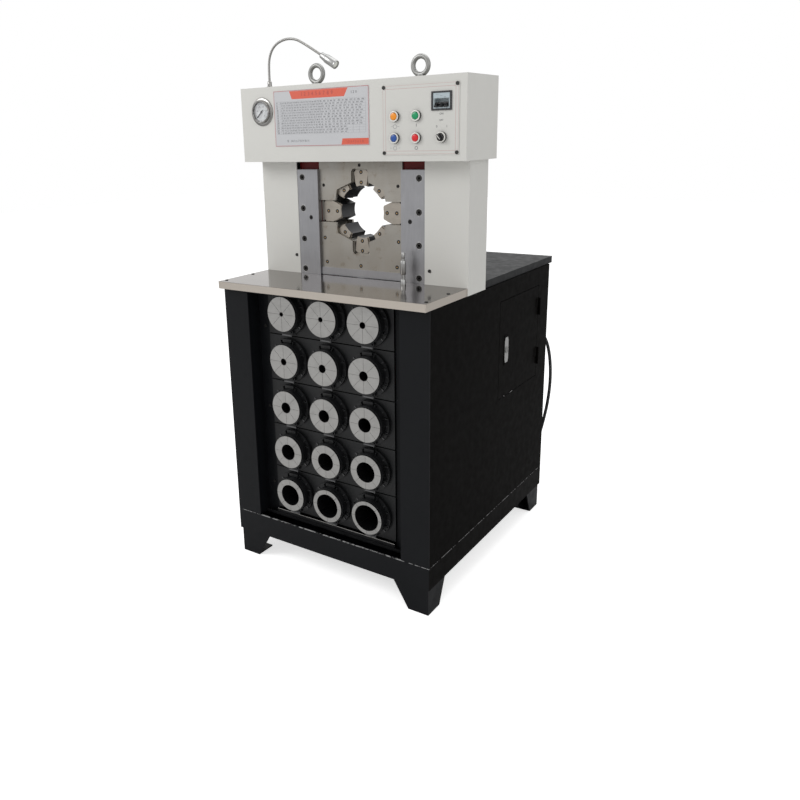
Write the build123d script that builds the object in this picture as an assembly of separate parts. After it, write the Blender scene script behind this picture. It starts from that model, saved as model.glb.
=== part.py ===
from build123d import *
import os
from math import cos, sin, tan, radians

os.makedirs("parts", exist_ok=True)

# Hose crimping machine, millimetres. +Z up, -Y the working side, X to the right seen from there.
# The origin is on the floor, under the middle of the box around the machine without its mains cable.

# ---------------------------------------------------------------- driving dimensions
DEPTH = 928.0            # front edge of the table to rear edge of the rear cover
TABLE_WIDTH = 744.0
TABLE_DEPTH = 243.5
TABLE_TOP = 958.0
TABLE_RIM = 23.0
CABINET_WIDTH = 744.0
CABINET_SETBACK = 24.0   # table overhang in front of the cabinet
CABINET_DEPTH = 872.0
SHEET = 2.0              # cabinet, cover and door sheet
BASE_TOP = 161.0
SKIRT_BOTTOM = 88.0
BASE_WALL = 4.0
FOOT_INSET = 5.0
FOOT_WIDTH_TOP = 125.0
FOOT_WIDTH_FLOOR = 69.0
FOOT_DEPTH_TOP = 109.0
FOOT_DEPTH_FLOOR = 70.0
COVER_GAP = 0.5          # sheet to sheet

REAR_COVER_WIDTH = 736.0
COLUMN_COVER_WIDTH = 748.0
COLUMN_COVER_FRONT = 244.0
COLUMN_COVER_DEPTH = 118.0
HEAD_WIDTH = 787.0
HEAD_FRONT = 181.0
HEAD_DEPTH = 193.0
HEAD_BOTTOM = 1315.0
HEAD_TOP = 1538.0

# press
CENTRE_Z = 1161.0        # middle of the die opening with the press open
LIFT = 52.0              # ram travel
BLOCK_WIDTH = 303.0
BLOCK_TOP = 1317.5
BLOCK_BOTTOM = 983.0
RETAINER_FRONT = 255.0
RETAINER_THICK = 8.5
BLOCK_DEPTH = 81.0
DIE_PLATE = 6.0          # face plate on each master die
DIE_DEPTH = 80.0
DIE_BORE_R = 54.0        # master dies closed
DIE_FLAT = 65.0          # half height of the working cavity above the axis, closed
SLOT_TOP = 101.0         # end of the slots that hold the top and bottom dies, closed
SIDE_DIE_END = 120.0
SIDE_DIE_APEX = 130.0
CLOSED_HALF_GAP = 8.0    # half the gap between the blocks when closed
DIE_HALF_SLOT = 26.5
FLANK_CLEARANCE = 0.4
SLIDE_CLEARANCE = 0.3
COLUMN_WIDTH = 80.0
COLUMN_DEPTH = 84.0
FRAME_FOOT = 106.5
FRAME_TOP = 1500.0
CROSSBEAM_TOP = 700.0
CROSSBEAM_HEIGHT = 80.0
GUIDE_THICK = 17.0
GUIDE_TOP = 1289.0
GUIDE_BOTTOM = 938.0
GUIDE_BOLT_PITCH = 97.0
GUIDE_BOLT_TOP = 1265.0
COUNTERBORE_R = 10.0
RAM_R = 55.0
BARREL_R = 115.0
BARREL_BORE_R = 90.0
BARREL_TOP = 930.0
PISTON_HEIGHT = 50.0
PISTON_REST = 740.0
RAM_HEAD_HEIGHT = 24.5
RUNNING_FIT = 0.05

# rack of die sets
RACK_WINDOW = 552.0      # width of the opening between the front posts
RACK_PITCH_X = 149.0
RACK_PITCH_Z = 151.5
RACK_LOW_Z = 262.0
RACK_PANEL_FRONT = 70.0
RACK_PANEL_WIDTH = 462.0
RACK_PANEL_GAP = 3.5
SET_FRONT = 32.5
SET_LENGTH = 72.0
SET_R = 54.0
SET_SLIT = 0.7
SET_BORES = ((14.0, 16.0, 20.0), (22.0, 26.0, 30.0), (36.0, 40.0, 45.0),
             (53.0, 58.0, 65.0), (71.0, 80.0, 85.0))
HOLDER_FRONT = 38.0
HOLDER_WALL = 3.0
HOLDER_FIT = 0.4
HOLDER_FLANGE_R = 69.0
HOLDER_FLANGE_FRONT = 60.0

# controls
PANEL_LEFT, PANEL_RIGHT, PANEL_BOTTOM, PANEL_TOP = 132.0, 372.0, 1332.0, 1519.0
CHART_LEFT, CHART_RIGHT, CHART_BOTTOM, CHART_TOP = -260.0, 88.0, 1361.0, 1524.0
PLATE = 1.5
BUTTON_X = (173.5, 242.0)
BUTTON_Z = (1436.0, 1378.0)
BUTTON_TRAVEL = 4.0
BEZEL_R = 14.75
BEZEL_PROUD = 9.0
CAP_R = 9.6
SHAFT_R = 9.0
SELECTOR_X = 320.0
BREAKER_X, BREAKER_Z = 319.5, 1471.5
BREAKER_WIDTH, BREAKER_HEIGHT = 61.0, 49.0
GAUGE_X, GAUGE_Z = -308.0, 1466.0
GAUGE_R = 42.3
GAUGE_DIAL_R = 30.0
GAUGE_PROUD = 12.0

# door in the right side
DOOR_FRONT, DOOR_REAR, DOOR_BOTTOM, DOOR_TOP = 480.0, 805.0, 546.0, 874.0
DOOR_GAP = 2.0
HINGE_OUT = 4.2
HINGE_PIN_R = 2.0
HINGE_BARREL_R = 4.0
HINGE_LENGTH = 30.0
LOCK_Y, LOCK_Z = 535.0, 706.0

# lifting eyes, lamp, micrometer
EYE_X, EYE_RING_R, EYE_WIRE_R = 185.0, 24.5, 7.0
LAMP_X, LAMP_Y = -306.0, 220.0
LAMP_NECK_R = 4.0
LAMP_HEAD_R = 13.0
LAMP_HEAD_LENGTH = 62.0
MICRO_X, MICRO_Y = 178.0, 212.0

# mains cable
CABLE_R = 6.0
COIL_MID_R = 66.0
COIL_BAND = 18.0
COIL_OUT = COIL_MID_R + COIL_BAND
COIL_X, COIL_Y = 120.0, 1075.0

SIN22, COS22, TAN22 = sin(radians(22.5)), cos(radians(22.5)), tan(radians(22.5))


def along(depth):
    """Y of a point this far behind the front edge of the table."""
    return depth - DEPTH / 2


def box(x0, x1, d0, d1, z0, z1):
    """Box between two X, two depths behind the table edge and two heights."""
    middle = Pos((x0 + x1) / 2, (along(d0) + along(d1)) / 2, (z0 + z1) / 2)
    return middle * Box(x1 - x0, d1 - d0, z1 - z0)


def rod_y(x, z, d0, d1, radius):
    return Pos(x, (along(d0) + along(d1)) / 2, z) * Rot(90, 0, 0) * Cylinder(radius, d1 - d0)


def rod_z(x, d, z0, z1, radius):
    return Pos(x, along(d), (z0 + z1) / 2) * Cylinder(radius, z1 - z0)


def rod_x(d, z, x0, x1, radius):
    return Pos((x0 + x1) / 2, along(d), z) * Rot(0, 90, 0) * Cylinder(radius, x1 - x0)


def slab(points, d0, d1):
    """Prism along Y over an outline of (X, Z) points."""
    face = Plane(origin=(0, along(d1), 0), x_dir=(1, 0, 0), z_dir=(0, -1, 0)) * Polygon(*points, align=None)
    return extrude(face, d1 - d0, dir=(0, -1, 0))


def both_sides(shape):
    return [shape, mirror(shape, Plane.YZ)]


def save(name, *shapes):
    solids = [solid for shape in shapes for solid in shape.solids()]
    export_step(solids[0] if len(solids) == 1 else Compound(children=solids), f"parts/{name}.step")


def socket_screw(x, z, front, head_r, head, shank):
    """Cap screw along Y: head from its front face, hexagon socket, shank behind."""
    neck = front + head
    screw = rod_y(x, z, front, neck, head_r) + rod_y(x, z, neck, neck + shank, head_r * 0.55)
    socket = Plane(origin=(x, along(front + head * 0.6), z), x_dir=(1, 0, 0), z_dir=(0, -1, 0))
    hexagon = socket * RegularPolygon(head_r * 0.5, 6)
    return screw - extrude(hexagon, head)


# ---------------------------------------------------------------- base, cabinet and covers
half = CABINET_WIDTH / 2
cab_front = CABINET_SETBACK
cab_rear = CABINET_SETBACK + CABINET_DEPTH
cab_top = TABLE_TOP - TABLE_RIM
inside = half - SHEET


def foot(sign, front):
    """Corner foot: two tapering plates that meet at the corner, and a pad under them."""
    corner = half - FOOT_INSET
    edge = cab_front + FOOT_INSET if front else cab_rear - FOOT_INSET
    inward = 1 if front else -1
    front_plate = slab([(sign * corner, 0), (sign * (corner - FOOT_WIDTH_FLOOR), 0),
                        (sign * (corner - FOOT_WIDTH_TOP), SKIRT_BOTTOM + BASE_WALL),
                        (sign * corner, SKIRT_BOTTOM + BASE_WALL)],
                       min(edge, edge + inward * BASE_WALL), max(edge, edge + inward * BASE_WALL))
    outline = [(along(edge), 0), (along(edge + inward * FOOT_DEPTH_FLOOR), 0),
               (along(edge + inward * FOOT_DEPTH_TOP), SKIRT_BOTTOM + BASE_WALL),
               (along(edge), SKIRT_BOTTOM + BASE_WALL)]
    side_x = min(sign * corner, sign * (corner - BASE_WALL))
    side = Plane(origin=(side_x, 0, 0), x_dir=(0, 1, 0), z_dir=(1, 0, 0))
    side_plate = extrude(side * Polygon(*outline, align=None), BASE_WALL, dir=(1, 0, 0))
    pad_x = sorted((sign * corner, sign * (corner - FOOT_WIDTH_FLOOR)))
    pad_d = sorted((edge, edge + inward * FOOT_DEPTH_FLOOR))
    return front_plate + side_plate + box(pad_x[0], pad_x[1], pad_d[0], pad_d[1], 0, BASE_WALL)


base = box(-half, half, cab_front, cab_rear, SKIRT_BOTTOM, BASE_TOP)
base -= box(-half + BASE_WALL, half - BASE_WALL, cab_front + BASE_WALL, cab_rear - BASE_WALL,
            FRAME_FOOT - COVER_GAP, BASE_TOP + 1)
for sign in (-1, 1):
    base += foot(sign, True) + foot(sign, False)
save("base_frame", base)

cab_bottom = BASE_TOP + COVER_GAP
cab_high = cab_top - COVER_GAP


def side_panel():
    """Right side sheet with a return at the rear, between the base and the covers."""
    sheet = box(inside, half, cab_front + SHEET + COVER_GAP, cab_rear, cab_bottom, cab_high)
    rear_return = box(inside - 25, inside, cab_rear - SHEET, cab_rear, cab_bottom, cab_high)
    foot_return = box(inside - 20, inside, cab_front + 110, cab_rear, cab_bottom, cab_bottom + SHEET)
    return sheet + rear_return + foot_return


save("side_panel_left", mirror(side_panel(), Plane.YZ))
door_hole = box(inside - 1, half + 1, DOOR_FRONT, DOOR_REAR, DOOR_BOTTOM, DOOR_TOP)
save("side_panel_right", side_panel() - door_hole)

GLAND_X, GLAND_Z = 326.0, 668.0
GLAND_R = 11.0
rear_half = inside - 25 - COVER_GAP
rear = box(-rear_half, rear_half, cab_rear - SHEET, cab_rear, cab_bottom, cab_high)
for row in range(6):
    for column in (-1, 0, 1):
        middle, height = column * 190.0, 330.0 + row * 26.0
        rear -= box(middle - 60, middle + 60, cab_rear - SHEET - 1, cab_rear + 1, height, height + 8)
rear -= rod_y(GLAND_X, GLAND_Z, cab_rear - SHEET - 1, cab_rear + 1, GLAND_R + RUNNING_FIT)
save("rear_panel", rear)

post_edge = RACK_WINDOW / 2
flange_edge = RACK_PANEL_WIDTH / 2 + COVER_GAP
flange_front = RACK_PANEL_FRONT + 6


def front_post():
    """Right front post: face, wall back into the recess, and the flange beside the rack panels."""
    face = box(post_edge, half, cab_front, cab_front + SHEET, cab_bottom, cab_high)
    wall = box(post_edge, post_edge + SHEET, cab_front, flange_front + SHEET, cab_bottom, cab_high)
    flange = box(flange_edge, post_edge + SHEET, flange_front, flange_front + SHEET, cab_bottom, cab_high)
    return face + wall + flange


top_strip = box(-post_edge - 1, post_edge + 1, cab_front, cab_front + SHEET, cab_high - 8, cab_high)
save("front_frame", front_post() + mirror(front_post(), Plane.YZ) + top_strip)

table = box(-TABLE_WIDTH / 2, TABLE_WIDTH / 2, 0, TABLE_DEPTH, cab_top, TABLE_TOP)
table -= box(-TABLE_WIDTH / 2 + SHEET, TABLE_WIDTH / 2 - SHEET, SHEET, TABLE_DEPTH - SHEET,
             cab_top - 1, TABLE_TOP - SHEET)
table -= rod_z(MICRO_X, MICRO_Y, TABLE_TOP - 5, TABLE_TOP + 5, 6.0 + RUNNING_FIT)
save("table_top", table)

cover_front = COLUMN_COVER_FRONT + COLUMN_COVER_DEPTH + COVER_GAP
rear_cover = box(-REAR_COVER_WIDTH / 2, REAR_COVER_WIDTH / 2, cover_front, DEPTH, cab_top, TABLE_TOP)
rear_cover -= box(-REAR_COVER_WIDTH / 2 + SHEET, REAR_COVER_WIDTH / 2 - SHEET,
                  cover_front + SHEET, DEPTH - SHEET,
                  cab_top - 1, TABLE_TOP - SHEET)
save("rear_top_cover", rear_cover)

column_inner = BLOCK_WIDTH / 2 + SLIDE_CLEARANCE
column_outer = column_inner + COLUMN_WIDTH


def column_cover():
    """Right column cover: an open channel round the outside of the column."""
    outer, inner = COLUMN_COVER_WIDTH / 2, column_outer + COVER_GAP
    low, high = cab_top, HEAD_BOTTOM - COVER_GAP
    rear_edge = COLUMN_COVER_FRONT + COLUMN_COVER_DEPTH
    channel = box(inner, outer, COLUMN_COVER_FRONT, rear_edge, low, high)
    return channel - box(inner - 1, outer - SHEET, COLUMN_COVER_FRONT + SHEET, rear_edge - SHEET,
                         low - 1, high + 1)


save("column_covers", *both_sides(column_cover()))

head_rear = HEAD_FRONT + HEAD_DEPTH
head = box(-HEAD_WIDTH / 2, HEAD_WIDTH / 2, HEAD_FRONT, head_rear, HEAD_BOTTOM, HEAD_TOP)
head -= box(-HEAD_WIDTH / 2 + SHEET, HEAD_WIDTH / 2 - SHEET, HEAD_FRONT + SHEET, head_rear - SHEET,
            HEAD_BOTTOM + SHEET, HEAD_TOP - SHEET)
head -= box(-column_outer - 2, column_outer + 2, COLUMN_COVER_FRONT, COLUMN_COVER_FRONT + COLUMN_COVER_DEPTH,
            HEAD_BOTTOM - 1, HEAD_BOTTOM + SHEET + 1)
wall = (HEAD_FRONT - 1, HEAD_FRONT + SHEET + 1)
for x in BUTTON_X:
    for z in BUTTON_Z:
        head -= rod_y(x, z, *wall, SHAFT_R + 2.5)
head -= rod_y(SELECTOR_X, BUTTON_Z[1], *wall, SHAFT_R + 2.5)
head -= rod_y(GAUGE_X, GAUGE_Z, *wall, GAUGE_DIAL_R + 2)
head -= box(BREAKER_X - BREAKER_WIDTH / 2 + 5, BREAKER_X + BREAKER_WIDTH / 2 - 5, *wall,
            BREAKER_Z - BREAKER_HEIGHT / 2 + 4, BREAKER_Z + BREAKER_HEIGHT / 2 - 4)
axis_depth = RETAINER_FRONT + RETAINER_THICK + BLOCK_DEPTH / 2
for sign in (-1, 1):
    head -= rod_z(sign * EYE_X, axis_depth, HEAD_TOP - SHEET - 1, HEAD_TOP + 1, 9.5)
head -= rod_z(LAMP_X, LAMP_Y, HEAD_TOP - SHEET - 1, HEAD_TOP + 1, 5.0)
save("head_cover", head)

# ---------------------------------------------------------------- door, hinges and lock
hinge_x = half + HINGE_OUT
hinge_depth = DOOR_REAR + 1.0
hinge_heights = (DOOR_BOTTOM + 45.0, DOOR_TOP - 45.0 - 2 * HINGE_LENGTH)
door_edges = (DOOR_FRONT + DOOR_GAP, DOOR_REAR - DOOR_GAP, DOOR_BOTTOM + DOOR_GAP, DOOR_TOP - DOOR_GAP)
door = box(inside, half, *door_edges)
door += box(inside - 14, inside, DOOR_FRONT + 30, DOOR_FRONT + 32, DOOR_BOTTOM + 30, DOOR_TOP - 30)
door += box(inside - 14, inside, DOOR_REAR - 60, DOOR_REAR - 58, DOOR_BOTTOM + 30, DOOR_TOP - 30)
door += box(half, half + 1.5, LOCK_Y - 14, LOCK_Y + 14, LOCK_Z - 50, LOCK_Z + 50)
door -= rod_x(LOCK_Y, LOCK_Z, inside - 1, half + 3, 9 + RUNNING_FIT)
fixed_hinges = []
for low in hinge_heights:
    split = low + HINGE_LENGTH
    knuckle = rod_z(hinge_x, hinge_depth, split + 0.3, split + HINGE_LENGTH, HINGE_BARREL_R)
    leaf = box(half, half + 1.5, hinge_depth - 24, hinge_depth - 2.5, split + 0.3, split + HINGE_LENGTH)
    tab = box(half, half + 1.5, hinge_depth - 3, hinge_depth, split + 0.3, split + HINGE_LENGTH)
    door += (knuckle + leaf + tab) - rod_z(hinge_x, hinge_depth, split, split + HINGE_LENGTH + 1,
                                           HINGE_PIN_R + RUNNING_FIT)
    lower = rod_z(hinge_x, hinge_depth, low, split, HINGE_BARREL_R)
    lower += box(half, half + 1.5, hinge_depth, hinge_depth + 24, low, split)
    lower += rod_z(hinge_x, hinge_depth, low, split + HINGE_LENGTH - 1, HINGE_PIN_R)
    fixed_hinges.append(lower)
save("access_door", door)
save("door_hinges", *fixed_hinges)

# the tongue turns behind the door's stiffening strip
cam_end = inside - 20
cam = rod_x(LOCK_Y, LOCK_Z, cam_end, half + 4, 9) + rod_x(LOCK_Y, LOCK_Z, half + 2, half + 4, 11)
cam += box(cam_end, cam_end + 3, LOCK_Y - 9, LOCK_Y + 9, LOCK_Z - 62, LOCK_Z)
cam -= box(half + 2.5, half + 5, LOCK_Y - 1.2, LOCK_Y + 1.2, LOCK_Z - 7, LOCK_Z + 7)
save("lock_cam", cam)

# ---------------------------------------------------------------- rack, holders and stored die sets
rack_rows = [RACK_LOW_Z + RACK_PITCH_Z * row for row in (4, 3, 2, 1, 0)]
rack_columns = (-RACK_PITCH_X, 0.0, RACK_PITCH_X)
sleeve_r = SET_R + HOLDER_FIT + HOLDER_WALL
panels = []
for z in rack_rows:
    low, high = z - RACK_PITCH_Z / 2 + RACK_PANEL_GAP / 2, z + RACK_PITCH_Z / 2 - RACK_PANEL_GAP / 2
    high = min(high, cab_high - 1)
    width = RACK_PANEL_WIDTH / 2
    panel = box(-width, width, RACK_PANEL_FRONT, RACK_PANEL_FRONT + SHEET, low, high)
    for edge in (low, high - SHEET):
        panel += box(-width, width, RACK_PANEL_FRONT, RACK_PANEL_FRONT + 22, edge, edge + SHEET)
    for x in rack_columns:
        panel -= rod_y(x, z, RACK_PANEL_FRONT - 1, RACK_PANEL_FRONT + SHEET + 1, sleeve_r + 0.3)
    panels.append(panel)
tray_low = BASE_TOP + COVER_GAP
tray = box(-post_edge + 0.3, post_edge - 0.3, cab_front + 34, flange_front - 1, tray_low, tray_low + SHEET)
tray += box(-post_edge + 0.3, post_edge - 0.3, cab_front + 34, cab_front + 36, tray_low, tray_low + 9)
save("rack_panels", *panels, tray)

holder_back = SET_FRONT + SET_LENGTH + 6
holder = rod_y(0, 0, HOLDER_FRONT, holder_back, sleeve_r)
holder += rod_y(0, 0, HOLDER_FLANGE_FRONT, RACK_PANEL_FRONT, HOLDER_FLANGE_R)
holder -= rod_y(0, 0, HOLDER_FRONT - 1, holder_back - 4, SET_R + HOLDER_FIT)
holder -= rod_y(0, 0, HOLDER_FRONT, holder_back + 1, 44.0)
for turn in range(8):
    rib = box(sleeve_r - 1, HOLDER_FLANGE_R - 2, HOLDER_FLANGE_FRONT - 8, HOLDER_FLANGE_FRONT + 1, -1.2, 1.2)
    holder += Rot(0, 22.5 + 45 * turn, 0) * rib
for sign in (-1, 1):
    middle = sign * (sleeve_r + 5.5)
    holder += box(-17, 17, HOLDER_FLANGE_FRONT - 7, HOLDER_FLANGE_FRONT + 1, middle - 5, middle + 5)
save("die_holders", *[Pos(x, 0, z) * holder for z in rack_rows for x in rack_columns])


def die_set(x, z, bore_r):
    """Eight segments of one stored set, a slit between each two."""
    set_rear = SET_FRONT + SET_LENGTH
    ring = rod_y(0, 0, SET_FRONT, set_rear, SET_R) - rod_y(0, 0, SET_FRONT - 1, set_rear + 1, bore_r)
    reach = SET_R + 5
    wedge_points = [(SET_SLIT / 2 / SIN22, 0), (reach, reach * TAN22 - SET_SLIT / 2 / COS22),
                    (reach, -reach * TAN22 + SET_SLIT / 2 / COS22)]
    wedge = slab(wedge_points, SET_FRONT - 1, SET_FRONT + SET_LENGTH + 1)
    segment = ring & wedge
    return [Pos(x, 0, z) * Rot(0, 22.5 + 45 * turn, 0) * segment for turn in range(8)]


for row, (z, bores) in enumerate(zip(rack_rows, SET_BORES)):
    segments = []
    for x, bore in zip(rack_columns, bores):
        segments += die_set(x, z, bore / 2)
    save(f"die_sets_row_{row + 1}", *segments)

# ---------------------------------------------------------------- press frame and guides
frame_front = RETAINER_FRONT + RETAINER_THICK - 1.5
frame_rear = frame_front + COLUMN_DEPTH
frame = box(-column_outer, column_outer, frame_front, frame_rear, BLOCK_TOP, FRAME_TOP)
frame += box(-column_outer, column_outer, frame_front, frame_rear,
             CROSSBEAM_TOP - CROSSBEAM_HEIGHT, CROSSBEAM_TOP)
for sign in (-1, 1):
    low, high = sorted((sign * column_inner, sign * column_outer))
    frame += box(low, high, frame_front, frame_rear, FRAME_FOOT, FRAME_TOP)
    frame -= rod_z(sign * EYE_X, axis_depth, FRAME_TOP - 40, FRAME_TOP + 1, 8.0)
save("press_frame", frame)

bolt_rows = [GUIDE_BOLT_TOP - GUIDE_BOLT_PITCH * row for row in range(4)]
guide_front = frame_front - GUIDE_THICK
bolt_x = column_outer - 19.0
guide = box(column_inner, column_outer, guide_front, frame_front, GUIDE_BOTTOM, GUIDE_TOP)
rear_guide = box(column_inner, column_outer, frame_rear, frame_rear + 12, GUIDE_BOTTOM, GUIDE_TOP)
HEAD_DEEP = 12.0
for z in bolt_rows:
    guide -= rod_y(bolt_x, z, guide_front - 1, guide_front + HEAD_DEEP + 0.5, COUNTERBORE_R)
    guide -= rod_y(bolt_x, z, guide_front, frame_front + 1, 6.0)
KEEPER_X, KEEPER_Z = 182.5, 1140.0
guide -= rod_y(KEEPER_X, KEEPER_Z, guide_front - 1, guide_front + 9, 7.0)
save("guide_plates", *both_sides(guide), *both_sides(rear_guide))

# ---------------------------------------------------------------- die blocks and master dies
OPEN = LIFT / 2          # how far each master die stands back when the press is open


def meet(p, angle_p, q, angle_q):
    """Where the line through p at angle_p crosses the line through q at angle_q, angles in degrees."""
    ax, ay = cos(radians(angle_p)), sin(radians(angle_p))
    bx, by = cos(radians(angle_q)), sin(radians(angle_q))
    along_p = ((q[0] - p[0]) * by - (q[1] - p[1]) * bx) / (ax * by - ay * bx)
    return (p[0] + ax * along_p, p[1] + ay * along_p)


def slope_height(x):
    """Height of the 22.5 degree working surface above the die axis, closed."""
    return DIE_FLAT - TAN22 * (x - DIE_FLAT * TAN22)


shoulder = meet((0, 0), 22.5, (0, slope_height(0)), -22.5)
slot_half = DIE_HALF_SLOT + SLIDE_CLEARANCE


def block_cavity(x_reach):
    """Working cavity of the upper block, closed, about the die axis."""
    low = SIDE_DIE_APEX - x_reach
    right = [(slot_half, SLOT_TOP + SLIDE_CLEARANCE), (slot_half, slope_height(slot_half)), shoulder,
             (x_reach, low)]
    left = [(-x, z) for x, z in reversed(right)]
    return left + right


def shift(points, dz):
    return [(x, z + dz) for x, z in points]


block_front = RETAINER_FRONT + RETAINER_THICK
block_rear = block_front + BLOCK_DEPTH
gap_top = CENTRE_Z + OPEN + CLOSED_HALF_GAP
cavity = shift(block_cavity(SIDE_DIE_APEX - CLOSED_HALF_GAP + 4), CENTRE_Z + OPEN)
block_half = BLOCK_WIDTH / 2
upper_body = box(-block_half, block_half, block_front, block_rear, gap_top, BLOCK_TOP)
upper_body -= slab(cavity, block_front - 1, block_rear + 1)
PLATE_BAND = 36.0        # the blocks stand clear of the side dies' face plates up to here, closed
upper_body -= box(-block_half - 1, block_half + 1, block_front - 1, block_front + DIE_PLATE + 1.5,
                  gap_top - 1, CENTRE_Z + OPEN + PLATE_BAND)

WINDOW_SLOT, WINDOW_TOP, WINDOW_SIDE = 31.0, 105.0, 93.0
window_right = [(WINDOW_SLOT, WINDOW_TOP), (WINDOW_SLOT, slope_height(WINDOW_SLOT) + 0.6),
                (WINDOW_SIDE - 7, slope_height(WINDOW_SIDE - 7) + 0.6), (WINDOW_SIDE, CLOSED_HALF_GAP - 5)]
window = shift([(-x, z) for x, z in reversed(window_right)] + window_right, CENTRE_Z + OPEN)


def retainer(d0, d1):
    """Plate in front of or behind the upper block, with the window for the dies."""
    plate = box(-block_half, block_half, d0, d1, gap_top, BLOCK_TOP)
    opening = slab(window, d0 - 1, d1 + 1)
    crown = opening.edges().filter_by(Axis.Y).group_by(Axis.Z)[-1]
    return plate - fillet(crown, 14.0)


SCREW_R = 5.0
upper_screws = [(-136.0, 1241.0), (0.0, 1302.0), (136.0, 1241.0)]
lower_screws = [(-137.0, 1077.0), (-131.0, 1000.0), (-1.0, 995.0), (131.0, 1000.0), (137.0, 1077.0)]


def bored(plate, places, front):
    for x, z in places:
        plate -= rod_y(x, z, front - 1, front + 40, SCREW_R + 0.3)
    return plate


def flip(shape):
    """The same shape below the die axis."""
    return mirror(shape, Plane(origin=(0, 0, CENTRE_Z), x_dir=(1, 0, 0), z_dir=(0, 0, 1)))


plate_back = block_rear + RETAINER_THICK
front_plate, back_plate = retainer(RETAINER_FRONT, block_front), retainer(block_rear, plate_back)
upper_set = [bored(plate, upper_screws, RETAINER_FRONT) for plate in (upper_body, front_plate)] + [back_plate]
save("upper_die_block", *upper_set)

lower_bottom = BLOCK_BOTTOM


def lowered(shape, d0, d1):
    """A mirrored piece of the upper block carried down to the lower block's foot."""
    foot_top = 2 * CENTRE_Z - BLOCK_TOP
    return flip(shape) + box(-block_half, block_half, d0, d1, lower_bottom, foot_top)


lower_body = lowered(upper_body, block_front, block_rear)
lower_front = lowered(front_plate, RETAINER_FRONT, block_front)
lower_back = lowered(back_plate, block_rear, plate_back)
lower_set = [bored(plate, lower_screws, RETAINER_FRONT) for plate in (lower_body, lower_front)] + [lower_back]
retainer_screws = [socket_screw(x, z, RETAINER_FRONT + 1.5, SCREW_R, 6.0, 20.0) for x, z in lower_screws]
save("lower_die_block", *lower_set, *retainer_screws)

die_front = block_front + SLIDE_CLEARANCE + 0.2
body_front = die_front + DIE_PLATE
die_rear = die_front + DIE_DEPTH - 0.5


def turned(points, angle):
    """Outline given as (outward, across) turned to a die's direction and stood back by OPEN."""
    c, s = cos(radians(angle)), sin(radians(angle))
    return [((u + OPEN) * c - t * s, (u + OPEN) * s + t * c + CENTRE_Z) for u, t in points]


def flank(u):
    """Half width of a master die's sector at this distance, less the running gap."""
    return u * TAN22 - FLANK_CLEARANCE / COS22


def master_die(angle, outline, face, screws):
    """Die body, face plate and their screws; outlines are half outlines from the inner face outwards."""
    def whole(points):
        return points + [(u, -t) for u, t in reversed(points)]
    inner = DIE_BORE_R - 6
    body = slab(turned(whole([(inner, flank(inner))] + outline), angle), body_front, die_rear)
    plate = slab(turned(whole(face), angle), die_front, body_front)
    c, s = cos(radians(angle)), sin(radians(angle))
    bore = rod_y(OPEN * c, CENTRE_Z + OPEN * s, die_front - 1, die_rear + 1, DIE_BORE_R)
    body, plate = body - bore, plate - bore
    pieces = []
    for u in screws:
        x, z = (u + OPEN) * c, (u + OPEN) * s + CENTRE_Z
        plate -= rod_y(x, z, die_front - 1, body_front + 1, 4.6)
        body -= rod_y(x, z, body_front - 1, body_front + 14, 2.7)
        pieces.append(socket_screw(x, z, die_front + 1, 4.5, DIE_PLATE - 1, 10.0))
    return [body, plate] + pieces


slot_outline = [(DIE_FLAT - 1, flank(DIE_FLAT - 1)), (DIE_FLAT, DIE_HALF_SLOT), (SLOT_TOP - 9, DIE_HALF_SLOT),
                (SLOT_TOP, DIE_HALF_SLOT - 9)]
slot_face = [(DIE_BORE_R - 1, 18.5), (DIE_FLAT + 2, 22.0),
             (SLOT_TOP - 8, DIE_HALF_SLOT - 0.5), (SLOT_TOP - 0.5, DIE_HALF_SLOT - 8)]
side_outline = [(shoulder[0] - 2, flank(shoulder[0] - 2)),
                (shoulder[0] + 1, SIDE_DIE_APEX - shoulder[0] - 1 - SLIDE_CLEARANCE * 2),
                (SIDE_DIE_END, SIDE_DIE_APEX - SIDE_DIE_END - SLIDE_CLEARANCE * 2)]
side_face = [(DIE_BORE_R - 1, 18.5), (68.0, 26.5), (84.0, 32.5), (110.0, 32.5), (118.0, 24.5)]


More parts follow.
